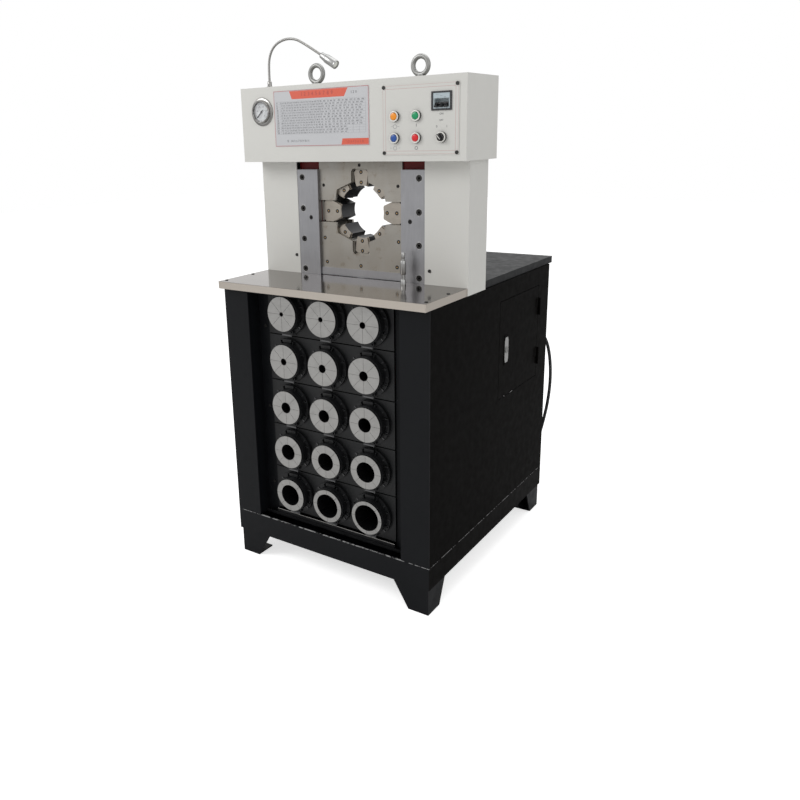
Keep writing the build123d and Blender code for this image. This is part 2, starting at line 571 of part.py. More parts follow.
def diagonal_die(angle, side_hand):
    """A diagonal die; side_hand is +1 where the side die lies counter-clockwise of it, -1 clockwise."""
    reach = DIE_FLAT * (1 + TAN22 ** 2) / ((1 + TAN22) * cos(radians(45))) - SLIDE_CLEARANCE * 1.2
    slope = 90 - side_hand * 22.5
    # the corner towards the side die is cut back, to clear the 45 degree surface when the press is open
    cut_back = SIDE_DIE_APEX * cos(radians(45)) - LIFT * SIN22 ** 2 - 2 * SLIDE_CLEARANCE
    inner, edge = DIE_BORE_R - 6, FLANK_CLEARANCE / COS22

    def outline_at(start, reach_out, limit, spread, gap):
        far = meet((reach_out, 0), slope, (0, side_hand * gap), -side_hand * spread)
        corner = meet((reach_out, 0), slope, (limit, 0), 90)
        half_width = tan(radians(spread))
        return [(start, -side_hand * (start * half_width - gap)), far, corner,
                (limit, side_hand * (limit * half_width - gap)),
                (start, side_hand * (start * half_width - gap))]

    outline = outline_at(inner, reach, cut_back, 22.5, edge)
    face = outline_at(DIE_BORE_R - 1, reach - 0.3, cut_back - 1.5, 16.0, -3.0)
    body = slab(turned(outline, angle), body_front, die_rear)
    plate = slab(turned(face, angle), die_front, body_front)
    c, s = cos(radians(angle)), sin(radians(angle))
    bore = rod_y(OPEN * c, CENTRE_Z + OPEN * s, die_front - 1, die_rear + 1, DIE_BORE_R)
    u = (DIE_BORE_R + reach) / 2
    x, z = (u + OPEN) * c, (u + OPEN) * s + CENTRE_Z
    body = body - bore - rod_y(x, z, body_front - 1, body_front + 14, 2.7)
    plate = plate - bore - rod_y(x, z, die_front - 1, body_front + 1, 4.6)
    return [body, plate, socket_screw(x, z, die_front + 1, 4.5, DIE_PLATE - 1, 10.0)]


slot_screws = (DIE_FLAT - 2, SLOT_TOP - 7)
side_screws = (DIE_BORE_R + 12, DIE_BORE_R + 46)
save("die_top", *master_die(90, slot_outline, slot_face, slot_screws))
save("die_bottom", *master_die(270, slot_outline, slot_face, slot_screws))
save("die_right", *master_die(0, side_outline, side_face, side_screws))
save("die_left", *master_die(180, side_outline, side_face, side_screws))
save("die_upper_right", *diagonal_die(45, -1))
save("die_upper_left", *diagonal_die(135, 1))
save("die_lower_left", *diagonal_die(225, -1))
save("die_lower_right", *diagonal_die(315, 1))

# ---------------------------------------------------------------- cylinder and ram
crossbeam = CROSSBEAM_TOP + COVER_GAP
barrel = rod_z(0, axis_depth, crossbeam, BARREL_TOP, BARREL_R)
barrel -= rod_z(0, axis_depth, crossbeam + 35, BARREL_TOP + 1, BARREL_BORE_R)
barrel += rod_z(0, axis_depth, crossbeam, crossbeam + 25, BARREL_R + 20)
port_z, port_end = crossbeam + 60, axis_depth + BARREL_R + 12
barrel += rod_y(0, port_z, axis_depth + BARREL_BORE_R + 8, port_end, 14.0)
gland = rod_z(0, axis_depth, BARREL_TOP - 30, BARREL_TOP, BARREL_BORE_R)
gland -= rod_z(0, axis_depth, BARREL_TOP - 31, BARREL_TOP + 1, RAM_R + RUNNING_FIT)
save("cylinder_barrel", barrel, gland)

ram_top = BLOCK_BOTTOM
head_low = ram_top - RAM_HEAD_HEIGHT
ram = rod_z(0, axis_depth, PISTON_REST, head_low, RAM_R)
ram += rod_z(0, axis_depth, PISTON_REST, PISTON_REST + PISTON_HEIGHT, BARREL_BORE_R - RUNNING_FIT)
ram += box(-block_half, block_half, RETAINER_FRONT - 4, plate_back, head_low, ram_top)
save("ram", ram)

# ---------------------------------------------------------------- controls on the head
plate_front = HEAD_FRONT - PLATE


def head_plate(left, right, bottom, top):
    return box(left, right, plate_front, HEAD_FRONT, bottom, top)


control = head_plate(PANEL_LEFT, PANEL_RIGHT, PANEL_BOTTOM, PANEL_TOP)
drill = (plate_front - 1, HEAD_FRONT + 1)
button_places = [(x, z) for z in BUTTON_Z for x in BUTTON_X]
for x, z in button_places + [(SELECTOR_X, BUTTON_Z[1])]:
    control -= rod_y(x, z, *drill, SHAFT_R + 2.5)
control -= box(BREAKER_X - BREAKER_WIDTH / 2 + 5, BREAKER_X + BREAKER_WIDTH / 2 - 5, *drill,
               BREAKER_Z - BREAKER_HEIGHT / 2 + 4, BREAKER_Z + BREAKER_HEIGHT / 2 - 4)
save("control_plate", control)
save("chart_plate", head_plate(CHART_LEFT, CHART_RIGHT, CHART_BOTTOM, CHART_TOP))

cap_bore = CAP_R + 0.25


def bezel(x, z):
    """Ring, threaded barrel through the head front, nut and contact block behind it."""
    ring = rod_y(x, z, plate_front - BEZEL_PROUD, plate_front, BEZEL_R)
    ring += rod_y(x, z, plate_front, HEAD_FRONT + SHEET + 12, SHAFT_R + 2)
    ring += rod_y(x, z, HEAD_FRONT + SHEET + COVER_GAP, HEAD_FRONT + SHEET + 5, BEZEL_R)
    ring += box(x - 13, x + 13, HEAD_FRONT + SHEET + 12, HEAD_FRONT + SHEET + 45, z - 13, z + 13)
    return ring - rod_y(x, z, plate_front - BEZEL_PROUD - 1, HEAD_FRONT + 9, cap_bore)


save("button_bezels", *[bezel(x, z) for x, z in button_places + [(SELECTOR_X, BUTTON_Z[1])]])
for (x, z), colour in zip(button_places, ("orange", "green", "blue", "red")):
    save(f"button_{colour}", rod_y(x, z, plate_front - BEZEL_PROUD - 1.5, HEAD_FRONT + 4, CAP_R))

knob_front = plate_front - BEZEL_PROUD - 12
knob = rod_y(SELECTOR_X, BUTTON_Z[1], plate_front - BEZEL_PROUD - 3, HEAD_FRONT + 8, CAP_R)
grip = box(-3.2, 3.2, knob_front, plate_front - BEZEL_PROUD - 2, -CAP_R + 0.6, CAP_R - 0.6)
knob += Pos(SELECTOR_X, 0, BUTTON_Z[1]) * Rot(0, -40, 0) * grip
save("selector_knob", knob)

TOGGLE_PITCH = 15.0
TOGGLE_AXLE_R = 3.5
toggle_z = BREAKER_Z - 7
toggle_depth = HEAD_FRONT + 4
breaker_half, breaker_tall = BREAKER_WIDTH / 2, BREAKER_HEIGHT / 2
breaker = box(BREAKER_X - breaker_half, BREAKER_X + breaker_half, plate_front - 3, plate_front,
              BREAKER_Z - breaker_tall, BREAKER_Z + breaker_tall)
breaker -= box(BREAKER_X - breaker_half + 5, BREAKER_X + breaker_half - 5, plate_front - 4, plate_front - 1.5,
               BREAKER_Z - breaker_tall + 4, BREAKER_Z + breaker_tall - 4)
breaker += box(BREAKER_X - breaker_half + 5.5, BREAKER_X + breaker_half - 5.5,
               plate_front - 1, HEAD_FRONT + 60,
               BREAKER_Z - breaker_tall + 4.5, BREAKER_Z + breaker_tall - 4.5)
breaker -= box(BREAKER_X - 22, BREAKER_X + 22, plate_front - 3, HEAD_FRONT + 14, toggle_z - 13, toggle_z + 13)
save("breaker_body", breaker)
toggles = rod_x(toggle_depth, toggle_z, BREAKER_X - 21.8, BREAKER_X + 21.8, TOGGLE_AXLE_R)
for column in (-1, 0, 1):
    lever = Rot(30, 0, 0) * Pos(0, -8, 0) * Box(8, 16, 5)
    toggles += Pos(BREAKER_X + column * TOGGLE_PITCH, along(toggle_depth), toggle_z) * lever
save("breaker_toggles", toggles)

case = rod_y(GAUGE_X, GAUGE_Z, HEAD_FRONT - 3, HEAD_FRONT, GAUGE_R)
case += rod_y(GAUGE_X, GAUGE_Z, HEAD_FRONT - GAUGE_PROUD, HEAD_FRONT, GAUGE_DIAL_R + 3.5)
case += rod_y(GAUGE_X, GAUGE_Z, HEAD_FRONT, HEAD_FRONT + 24, GAUGE_DIAL_R + 1)
case += rod_y(GAUGE_X, GAUGE_Z, HEAD_FRONT + 24, HEAD_FRONT + 44, 9.0)
dial_depth = HEAD_FRONT - 4
case -= rod_y(GAUGE_X, GAUGE_Z, HEAD_FRONT - GAUGE_PROUD - 1, dial_depth, GAUGE_DIAL_R)
case += rod_y(GAUGE_X, GAUGE_Z, dial_depth - 2.5, dial_depth + 1, 1.2)
save("gauge_case", case)
needle = rod_y(0, 0, dial_depth - 3.2, dial_depth - 1.6, 3.0)
needle += box(-0.9, 0.9, dial_depth - 2.6, dial_depth - 1.8, -8, GAUGE_DIAL_R - 5)
needle = Pos(GAUGE_X, 0, GAUGE_Z) * Rot(0, -135, 0) * needle
save("gauge_needle", needle - rod_y(GAUGE_X, GAUGE_Z, dial_depth - 4, dial_depth, 1.2 + RUNNING_FIT))

# ---------------------------------------------------------------- lifting eyes, lamp, micrometer
ring_z = HEAD_TOP + 9 + EYE_RING_R + 4
eye = Pos(0, along(axis_depth), ring_z) * Rot(90, 0, 0) * Torus(EYE_RING_R, EYE_WIRE_R)
eye += rod_z(0, axis_depth, HEAD_TOP, HEAD_TOP + 9, 17.0)
eye += rod_z(0, axis_depth, HEAD_TOP + 8, ring_z - EYE_RING_R, 11.0)
eye += rod_z(0, axis_depth, FRAME_TOP - 36, HEAD_TOP, 8.0 - RUNNING_FIT)
save("lifting_eyes", *[Pos(sign * EYE_X, 0, 0) * eye for sign in (-1, 1)])

neck_low = HEAD_TOP + 16
neck_route = [(LAMP_X, neck_low), (LAMP_X - 1, 1600.0), (-300.0, 1634.0), (-280.0, 1660.0), (-243.0, 1674.0),
              (-203.0, 1673.0), (-168.0, 1658.0), (-106.0, 1621.0)]
neck_points = [Vector(x, along(LAMP_Y), z) for x, z in neck_route]


def bend_radii(points):
    """The radius that the two runs beside each corner leave room for."""
    radii = []
    for before, corner, after in zip(points, points[1:], points[2:]):
        turn = (corner - before).get_angle(after - corner)
        shorter = min((corner - before).length, (after - corner).length)
        radii.append(0.45 * shorter / tan(radians(turn / 2)))
    return radii


def tube_along(points, radius, radii):
    route = FilletPolyline(*points, radius=radii)
    start = Plane(origin=points[0], z_dir=points[1] - points[0])
    return sweep(start * Circle(radius), path=route)


neck = tube_along(neck_points, LAMP_NECK_R, bend_radii(neck_points))
neck += rod_z(LAMP_X, LAMP_Y, HEAD_TOP, neck_low + 1, 7.0)
neck += rod_z(LAMP_X, LAMP_Y, HEAD_TOP, HEAD_TOP + 4, 11.0)
neck += rod_z(LAMP_X, LAMP_Y, HEAD_TOP - 12, HEAD_TOP, 5.0 - RUNNING_FIT)
tip = neck_points[-1]
lamp_way = (neck_points[-1] - neck_points[-2]).normalized()
BALL_R = 6.0
ball_at = tip + lamp_way * 5
PIN_HOLE_R = 1.5
neck += Pos(ball_at) * Sphere(BALL_R)
neck -= Pos(ball_at) * Rot(90, 0, 0) * Cylinder(PIN_HOLE_R, 2 * BALL_R + 2)
save("lamp_neck", neck)
head_plane = Plane(origin=tip + lamp_way * 3, x_dir=(0, 1, 0), z_dir=lamp_way)
lamp = head_plane * Pos(0, 0, 8) * Cone(9.0, LAMP_HEAD_R, 16)
lamp += head_plane * Pos(0, 0, 8 + LAMP_HEAD_LENGTH / 2) * Cylinder(LAMP_HEAD_R, LAMP_HEAD_LENGTH - 16)
lamp -= head_plane * Pos(0, 0, LAMP_HEAD_LENGTH - 2) * Cylinder(LAMP_HEAD_R - 1.5, 6)
lamp -= Pos(ball_at) * Sphere(BALL_R + 0.3)
lamp -= head_plane * Cone(8.8, 5.5, 8)
lamp += Pos(ball_at) * Rot(90, 0, 0) * Cylinder(PIN_HOLE_R - 0.2, 2 * BALL_R + 4)
save("lamp_head", lamp)

micro_low = TABLE_TOP - 18
THIMBLE_LOW, THIMBLE_HIGH, RATCHET_HIGH = TABLE_TOP + 30, TABLE_TOP + 72, TABLE_TOP + 96
sleeve = rod_z(MICRO_X, MICRO_Y, micro_low, TABLE_TOP + 42, 6.0)
sleeve += rod_z(MICRO_X, MICRO_Y, TABLE_TOP, TABLE_TOP + 16, 8.0)
save("micrometer_body", sleeve - rod_z(MICRO_X, MICRO_Y, micro_low - 1, TABLE_TOP + 43, 3.0 + RUNNING_FIT))
thimble = rod_z(MICRO_X, MICRO_Y, THIMBLE_LOW, THIMBLE_HIGH, 8.7)
thimble -= rod_z(MICRO_X, MICRO_Y, THIMBLE_LOW - 1, TABLE_TOP + 43, 6.0 + 0.3)
thimble += rod_z(MICRO_X, MICRO_Y, THIMBLE_HIGH, THIMBLE_HIGH + 6, 4.5)
thimble += rod_z(MICRO_X, MICRO_Y, THIMBLE_HIGH + 6, RATCHET_HIGH, 5.6)
thimble += rod_z(MICRO_X, MICRO_Y, micro_low - 6, TABLE_TOP + 45, 3.0)
save("micrometer_thimble", thimble)

# ---------------------------------------------------------------- hydraulics and electrics inside the cabinet
TANK_LEFT, TANK_RIGHT, TANK_FRONT, TANK_BACK, TANK_TOP = -320.0, 300.0, 470.0, 850.0, 430.0
TANK_WALL = 4.0
floor_z = FRAME_FOOT
tank = box(TANK_LEFT, TANK_RIGHT, TANK_FRONT, TANK_BACK, floor_z, TANK_TOP)
tank -= box(TANK_LEFT + TANK_WALL, TANK_RIGHT - TANK_WALL, TANK_FRONT + TANK_WALL, TANK_BACK - TANK_WALL,
            floor_z + TANK_WALL, TANK_TOP - TANK_WALL)
MOTOR_X, MOTOR_DEPTH, MOTOR_R = 150.0, 655.0, 98.0
tank -= rod_z(MOTOR_X, MOTOR_DEPTH, TANK_TOP - 7, TANK_TOP + 1, 55.0)
save("oil_tank", tank)
bell_top = TANK_TOP + 110.0
pump = rod_z(MOTOR_X, MOTOR_DEPTH, TANK_TOP, bell_top, 75.0)
pump += rod_z(MOTOR_X, MOTOR_DEPTH, TANK_TOP - 150, TANK_TOP, 50.0)
pump += rod_z(MOTOR_X, MOTOR_DEPTH, TANK_TOP, TANK_TOP + 12, 95.0)
VALVE_X, VALVE_DEPTH = -70.0, 640.0
solenoid_z = TANK_TOP + 85
block = box(VALVE_X - 45, VALVE_X + 45, VALVE_DEPTH - 40, VALVE_DEPTH + 40, TANK_TOP, TANK_TOP + 110)
block += rod_x(VALVE_DEPTH, solenoid_z, VALVE_X - 130, VALVE_X - 45, 24.0)
block += rod_x(VALVE_DEPTH, solenoid_z, VALVE_X + 45, VALVE_X + 100, 24.0)
save("pump_and_valves", pump, block)
motor = rod_z(MOTOR_X, MOTOR_DEPTH, bell_top, bell_top + 280, MOTOR_R)
for turn in range(24):
    fin = Rot(0, 0, 15 * turn) * Pos(MOTOR_R + 3, 0, 0) * Box(10, 3, 190)
    fin = Pos(MOTOR_X, along(MOTOR_DEPTH), bell_top + 125) * fin
    motor += fin
motor += rod_z(MOTOR_X, MOTOR_DEPTH, bell_top, bell_top + 14, MOTOR_R + 14)
motor += rod_z(MOTOR_X, MOTOR_DEPTH, bell_top + 235, bell_top + 300, MOTOR_R + 10)
motor += box(MOTOR_X - 50, MOTOR_X + 50, MOTOR_DEPTH - MOTOR_R - 50, MOTOR_DEPTH - MOTOR_R + 10,
             bell_top + 60, bell_top + 150)
save("motor", motor)

HOSE_R = 9.0
pressure_route = [(VALVE_X, VALVE_DEPTH - 40, TANK_TOP + 60), (VALVE_X, VALVE_DEPTH - 85, TANK_TOP + 60),
                  (VALVE_X + 12, VALVE_DEPTH - 120, TANK_TOP + 105),
                  (-24.0, 502.0, 640.0), (-2.0, 492.0, 715.0),
                  (0.0, 474.0, port_z), (0.0, port_end, port_z)]
pressure_path = [Vector(x, along(d), z) for x, d, z in pressure_route]
supply_z = TANK_TOP + 45
supply_route = [(MOTOR_X - 76, MOTOR_DEPTH, supply_z), (MOTOR_X - 101, MOTOR_DEPTH, supply_z),
                (VALVE_X + 70, VALVE_DEPTH + 8, supply_z), (VALVE_X + 45, VALVE_DEPTH + 8, supply_z)]
supply_path = [Vector(x, along(d), z) for x, d, z in supply_route]
hoses = [tube_along(path, HOSE_R, bend_radii(path)) for path in (pressure_path, supply_path)]
save("hydraulic_hoses", *hoses)

board_x = -inside + 4
electrics = box(board_x, board_x + 3, 480, 840, 470, 880)
for column in range(4):
    electrics += box(board_x + 3, board_x + 73, 500 + 80 * column, 560 + 80 * column, 740, 830)
for column in range(3):
    electrics += box(board_x + 3, board_x + 53, 510 + 105 * column, 590 + 105 * column, 620, 690)
electrics += box(board_x + 3, board_x + 43, 500, 820, 510, 550)
for d in (500, 820):
    electrics += rod_x(d, 600, -inside, board_x, 6.0) + rod_x(d, 860, -inside, board_x, 6.0)
save("electrical_panel", electrics)

# ---------------------------------------------------------------- screws
screws = []
for z in bolt_rows:
    for x in (-bolt_x, bolt_x):
        bolt = socket_screw(x, z, guide_front + 0.5, COUNTERBORE_R - 1, HEAD_DEEP, GUIDE_THICK - HEAD_DEEP - 1)
        screws.append(bolt)
for x in (-KEEPER_X, KEEPER_X):
    screws.append(socket_screw(x, KEEPER_Z, guide_front + 1, 6.5, 6, 1))
for x, z in upper_screws:
    screws.append(socket_screw(x, z, RETAINER_FRONT + 1.5, SCREW_R, 6.0, 20.0))
SHEET_SCREW_R, SHEET_SCREW_HEAD = 5.0, 2.2
sheet_screws = [(-246.0, COLUMN_COVER_FRONT, 1017.0), (249.0, COLUMN_COVER_FRONT, 999.0)]
panel_screw_z = (PANEL_BOTTOM + 6, PANEL_TOP - 6)
sheet_screws += [(x, plate_front, z) for x in (PANEL_LEFT + 6, PANEL_RIGHT - 6) for z in panel_screw_z]
flange_x = RACK_PANEL_WIDTH / 2 + 20
sheet_screws += [(x, flange_front, z) for x in (-flange_x, flange_x) for z in (812.0, 542.0, 272.0)]
for x, d, z in sheet_screws:
    screws.append(rod_y(x, z, d - SHEET_SCREW_HEAD, d, SHEET_SCREW_R))
for x in (-TABLE_WIDTH / 2 + 12, TABLE_WIDTH / 2 - 12):
    for d in (25.0, 150.0):
        screws.append(rod_z(x, d, TABLE_TOP, TABLE_TOP + 1.6, SHEET_SCREW_R))
save("socket_screws", *screws)

# ---------------------------------------------------------------- mains cable
gland_end = cab_rear + 24
cable_gland = rod_y(GLAND_X, GLAND_Z, cab_rear - 12, gland_end, GLAND_R)
cable_gland += rod_y(GLAND_X, GLAND_Z, cab_rear, cab_rear + 8, GLAND_R + 4)
cable_gland += rod_y(GLAND_X, GLAND_Z, cab_rear - 12, cab_rear - SHEET, GLAND_R + 4)
save("cable_gland", cable_gland)

cable_route = [(GLAND_X, gland_end, GLAND_Z), (GLAND_X, gland_end + 32, GLAND_Z),
               (GLAND_X + 8, gland_end + 62, GLAND_Z - 22), (GLAND_X + 21, gland_end + 72, GLAND_Z - 64),
               (361.0, 984.0, 545.0), (367.0, 976.0, 470.0), (363.0, 968.0, 390.0), (350.0, 962.0, 308.0),
               (331.0, 962.0, 228.0), (308.0, 974.0, 150.0), (286.0, 1004.0, 82.0), (258.0, 1050.0, 34.0),
               (226.0, 1110.0, 11.0), (188.0, 1160.0, 6.6),
               (COIL_X, COIL_Y + COIL_OUT + CABLE_R + 0.8, CABLE_R)]
cable_points = [Vector(x, along(d), z) for x, d, z in cable_route]
cable_radii = bend_radii(cable_points)
print("cable radii", [round(r) for r in cable_radii])
cable = tube_along(cable_points, CABLE_R, cable_radii)
print("cable tube length", round(cable.volume / (3.14159265 * CABLE_R ** 2)), "mm")
save("power_cable", cable)

COIL_HEIGHT = 24.0
coil = rod_z(COIL_X, COIL_Y, 0, COIL_HEIGHT, COIL_OUT)
coil -= rod_z(COIL_X, COIL_Y, -1, COIL_HEIGHT + 1, COIL_MID_R - COIL_BAND)
save("cable_coil", fillet(coil.edges().filter_by(GeomType.CIRCLE).group_by(Axis.Z)[-1], 4.0))

PLUG_R, PLUG_BODY_R, PLUG_TAIL_R = 28.0, 24.0, 12.0
PLUG_TAIL_X, PLUG_BODY_X, PLUG_RIM_X, PLUG_FACE_X, PIN_TIP_X = 60.6, 36.0, -24.0, -84.0, -116.0
plug_depth = COIL_Y + COIL_MID_R + CABLE_R
plug = rod_x(plug_depth, PLUG_R, PLUG_BODY_X, PLUG_TAIL_X, PLUG_TAIL_R)
plug += rod_x(plug_depth, PLUG_R, PLUG_RIM_X, PLUG_BODY_X, PLUG_BODY_R)
plug += rod_x(plug_depth, PLUG_R, PLUG_FACE_X, PLUG_RIM_X, PLUG_R)
PIN_CIRCLE_R, PIN_R = 13.0, 3.0
for angle in (90, 210, 330):
    pin_depth = plug_depth + PIN_CIRCLE_R * cos(radians(angle))
    pin_z = PLUG_R + PIN_CIRCLE_R * sin(radians(angle))
    plug += rod_x(pin_depth, pin_z, PIN_TIP_X, PLUG_FACE_X, PIN_R)
save("cable_plug", plug)
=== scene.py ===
from math import cos, pi, radians, sin

import bmesh
import bpy
from mathutils import Matrix, Vector


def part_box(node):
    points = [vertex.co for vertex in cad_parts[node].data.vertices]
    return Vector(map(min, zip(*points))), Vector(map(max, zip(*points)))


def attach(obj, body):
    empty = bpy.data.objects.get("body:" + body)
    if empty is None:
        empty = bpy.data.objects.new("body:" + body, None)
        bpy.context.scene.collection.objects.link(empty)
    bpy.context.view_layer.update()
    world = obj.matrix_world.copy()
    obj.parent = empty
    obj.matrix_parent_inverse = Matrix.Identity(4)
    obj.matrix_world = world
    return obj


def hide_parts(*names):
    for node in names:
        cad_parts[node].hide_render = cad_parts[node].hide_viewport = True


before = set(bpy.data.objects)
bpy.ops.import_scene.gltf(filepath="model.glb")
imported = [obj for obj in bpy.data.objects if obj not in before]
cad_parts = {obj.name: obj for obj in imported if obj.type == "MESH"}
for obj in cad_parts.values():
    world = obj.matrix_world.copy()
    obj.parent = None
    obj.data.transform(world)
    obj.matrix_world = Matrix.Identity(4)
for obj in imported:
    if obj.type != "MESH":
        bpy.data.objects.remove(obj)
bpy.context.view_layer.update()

MM = 0.001
DEPTH = 0.928            # table front edge to rear cover edge; the frame's origin is half way
FRONT = -DEPTH / 2

# Sizes repeated from the solids, in millimetres; a name that ends in _FRONT
# is a depth behind the table edge.
DIE_FRONT, DIE_PLATE, OPEN = 264.0, 6.0, 26.0
RETAINER_FRONT, GUIDE_FRONT, SET_FRONT = 255.0, 245.0, 32.5
HEAD_FRONT, PLATE_FRONT, FLANGE_FRONT = 181.0, 179.5, 76.0
HEAD_TOP, TABLE_TOP, AXIS_Z = 1538.0, 958.0, 1161.0

OUT, UP = (0, -1, 0), (0, 0, 1)    # towards someone in front of the machine, and straight up
PRINT_LIFT = 0.0003      # how far letters stand off their plate, in metres, so that both can be seen


def at(x, depth, z):
    """Point from X, depth behind the table edge and height, all in millimetres."""
    return Vector((x * MM, FRONT + depth * MM, z * MM))


# ---- camera
CAMERA_AT = Vector((1.3431, -2.2085, 1.3870))
CAMERA_YAW, CAMERA_PITCH, CAMERA_ROLL = radians(35.149), radians(-15.931), radians(1.535)
CAMERA_LENS, CAMERA_SENSOR = 34.81, 36.0
CAMERA_SHIFT = (0.0665, -0.0537)
CAMERA_REACH = 50.0


def photo_camera():
    """Camera at the photograph's viewing angle, aimed by yaw, pitch and roll."""
    forward = Vector((-sin(CAMERA_YAW) * cos(CAMERA_PITCH), cos(CAMERA_YAW) * cos(CAMERA_PITCH),
                      sin(CAMERA_PITCH)))
    level = Vector((cos(CAMERA_YAW), sin(CAMERA_YAW), 0))
    upward = level.cross(forward)
    right = level * cos(CAMERA_ROLL) - upward * sin(CAMERA_ROLL)
    top = right.cross(forward)
    turn = Matrix((right, top, -forward)).transposed().to_4x4()
    camera_data = bpy.data.cameras.new("camera")
    camera = bpy.data.objects.new("camera", camera_data)
    bpy.context.collection.objects.link(camera)
    camera.matrix_world = Matrix.Translation(CAMERA_AT) @ turn
    camera_data.sensor_width = CAMERA_SENSOR
    camera_data.lens = CAMERA_LENS
    camera_data.shift_x, camera_data.shift_y = CAMERA_SHIFT
    camera_data.clip_end = CAMERA_REACH
    bpy.context.scene.camera = camera


photo_camera()
bpy.context.scene.view_settings.view_transform = "Standard"


# ---- node helpers
class Nodes:
    """A material's node tree with short calls for the nodes that the finishes use."""

    def __init__(self, name):
        self.material = bpy.data.materials.new(name)
        self.material.use_nodes = True
        self.tree = self.material.node_tree
        self.shader = self.tree.nodes["Principled BSDF"]
        self.place = self.tree.nodes.new("ShaderNodeTexCoord").outputs["Object"]

    def node(self, kind, **settings):
        made = self.tree.nodes.new(kind)
        for key, value in settings.items():
            setattr(made, key, value)
        return made

    def link(self, source, target):
        self.tree.links.new(source, target)

    def noise(self, scale, stretch=(1, 1, 1), detail=4.0, rough=0.6):
        """Noise between 0 and 1, scale in waves per metre before the stretch."""
        mapping = self.node("ShaderNodeMapping")
        mapping.inputs["Scale"].default_value = stretch
        self.link(self.place, mapping.inputs["Vector"])
        noise = self.node("ShaderNodeTexNoise")
        noise.inputs["Scale"].default_value = scale
        noise.inputs["Detail"].default_value = detail
        noise.inputs["Roughness"].default_value = rough
        self.link(mapping.outputs[0], noise.inputs["Vector"])
        return noise.outputs["Fac"]

    def ramp(self, value, stops):
        ramp = self.node("ShaderNodeValToRGB")
        elements = ramp.color_ramp.elements
        while len(elements) < len(stops):
            elements.new(0.5)
        for element, (position, colour) in zip(elements, stops):
            element.position = position
            element.color = (*colour, 1) if len(colour) == 3 else colour
        self.link(value, ramp.inputs[0])
        return ramp.outputs[0]

    def mix(self, factor, a, b):
        """Colour mix; each of the three may be a socket or a plain value."""
        mix = self.node("ShaderNodeMix", data_type="RGBA")
        for value, socket in ((factor, mix.inputs[0]), (a, mix.inputs[6]), (b, mix.inputs[7])):
            if isinstance(value, bpy.types.NodeSocket):
                self.link(value, socket)
            else:
                socket.default_value = (*value, 1) if isinstance(value, tuple) else value
        return mix.outputs[2]

    def math(self, operation, a, b=0.0):
        made = self.node("ShaderNodeMath", operation=operation)
        for value, socket in ((a, made.inputs[0]), (b, made.inputs[1])):
            if isinstance(value, bpy.types.NodeSocket):
                self.link(value, socket)
            else:
                socket.default_value = value
        return made.outputs[0]

    def span(self, value, low, high, out_low=0.0, out_high=1.0):
        made = self.node("ShaderNodeMapRange")
        self.link(value, made.inputs[0])
        for index, number in zip((1, 2, 3, 4), (low, high, out_low, out_high)):
            made.inputs[index].default_value = number
        return made.outputs[0]

    def axis(self, letter):
        split = self.node("ShaderNodeSeparateXYZ")
        self.link(self.place, split.inputs[0])
        return split.outputs[letter]

    def bump(self, height, strength, distance=0.0005):
        bump = self.node("ShaderNodeBump")
        bump.inputs["Strength"].default_value = strength
        bump.inputs["Distance"].default_value = distance
        self.link(height, bump.inputs["Height"])
        self.link(bump.outputs[0], self.shader.inputs["Normal"])

    def set(self, **sockets):
        for key, value in sockets.items():
            socket = self.shader.inputs[key.replace("_", " ")]
            if isinstance(value, bpy.types.NodeSocket):
                self.link(value, socket)
            else:
                socket.default_value = (*value, 1) if isinstance(value, tuple) else value


def tone(colour, factor):
    """Colour made darker or paler by a factor."""
    return tuple(min(1.0, c * factor) for c in colour)


def painted(name, colour, rough=0.42, grain=900.0, bump=0.12, specular=0.5, vary=0.06):
    """Sprayed paint or powder coat: faint cloudiness, uneven gloss, orange peel."""
    m = Nodes(name)
    cloud = m.noise(6.0)
    m.set(Base_Color=m.mix(cloud, tone(colour, 1 - vary), tone(colour, 1 + vary)),
          Roughness=m.span(m.noise(40.0), 0.3, 0.7, rough - 0.06, rough + 0.08),
          Specular_IOR_Level=specular)
    m.bump(m.noise(grain), bump, 0.0003)
    return m


def metal(name, colour, rough=0.3, stretch=(1, 1, 1), scale=600.0, bump=0.05, vary=0.12, metallic=1.0):
    """Metal with a drawn, ground or brushed grain; stretch is small along the grain."""
    m = Nodes(name)
    grain = m.noise(scale, stretch)
    cloud = m.noise(9.0)
    base = m.mix(grain, tone(colour, 1 - vary), tone(colour, 1 + vary))
    m.set(Base_Color=m.mix(m.span(cloud, 0.35, 0.7, 0.0, 0.5), base, tone(colour, 0.8)),
          Metallic=metallic, Roughness=m.span(grain, 0.3, 0.7, rough - 0.06, rough + 0.1))
    m.bump(grain, bump, 0.0002)
    return m


def plastic(name, colour, rough=0.3, vary=0.05, specular=0.5):
    """Moulded plastic, rubber or printed ink: almost even colour with a fine grain."""
    m = Nodes(name)
    m.set(Base_Color=m.mix(m.noise(60.0), tone(colour, 1 - vary), tone(colour, 1 + vary)),
          Roughness=m.span(m.noise(250.0), 0.3, 0.7, rough - 0.04, rough + 0.06),
          Specular_IOR_Level=specular)
    m.bump(m.noise(1500.0), 0.04, 0.0002)
    return m


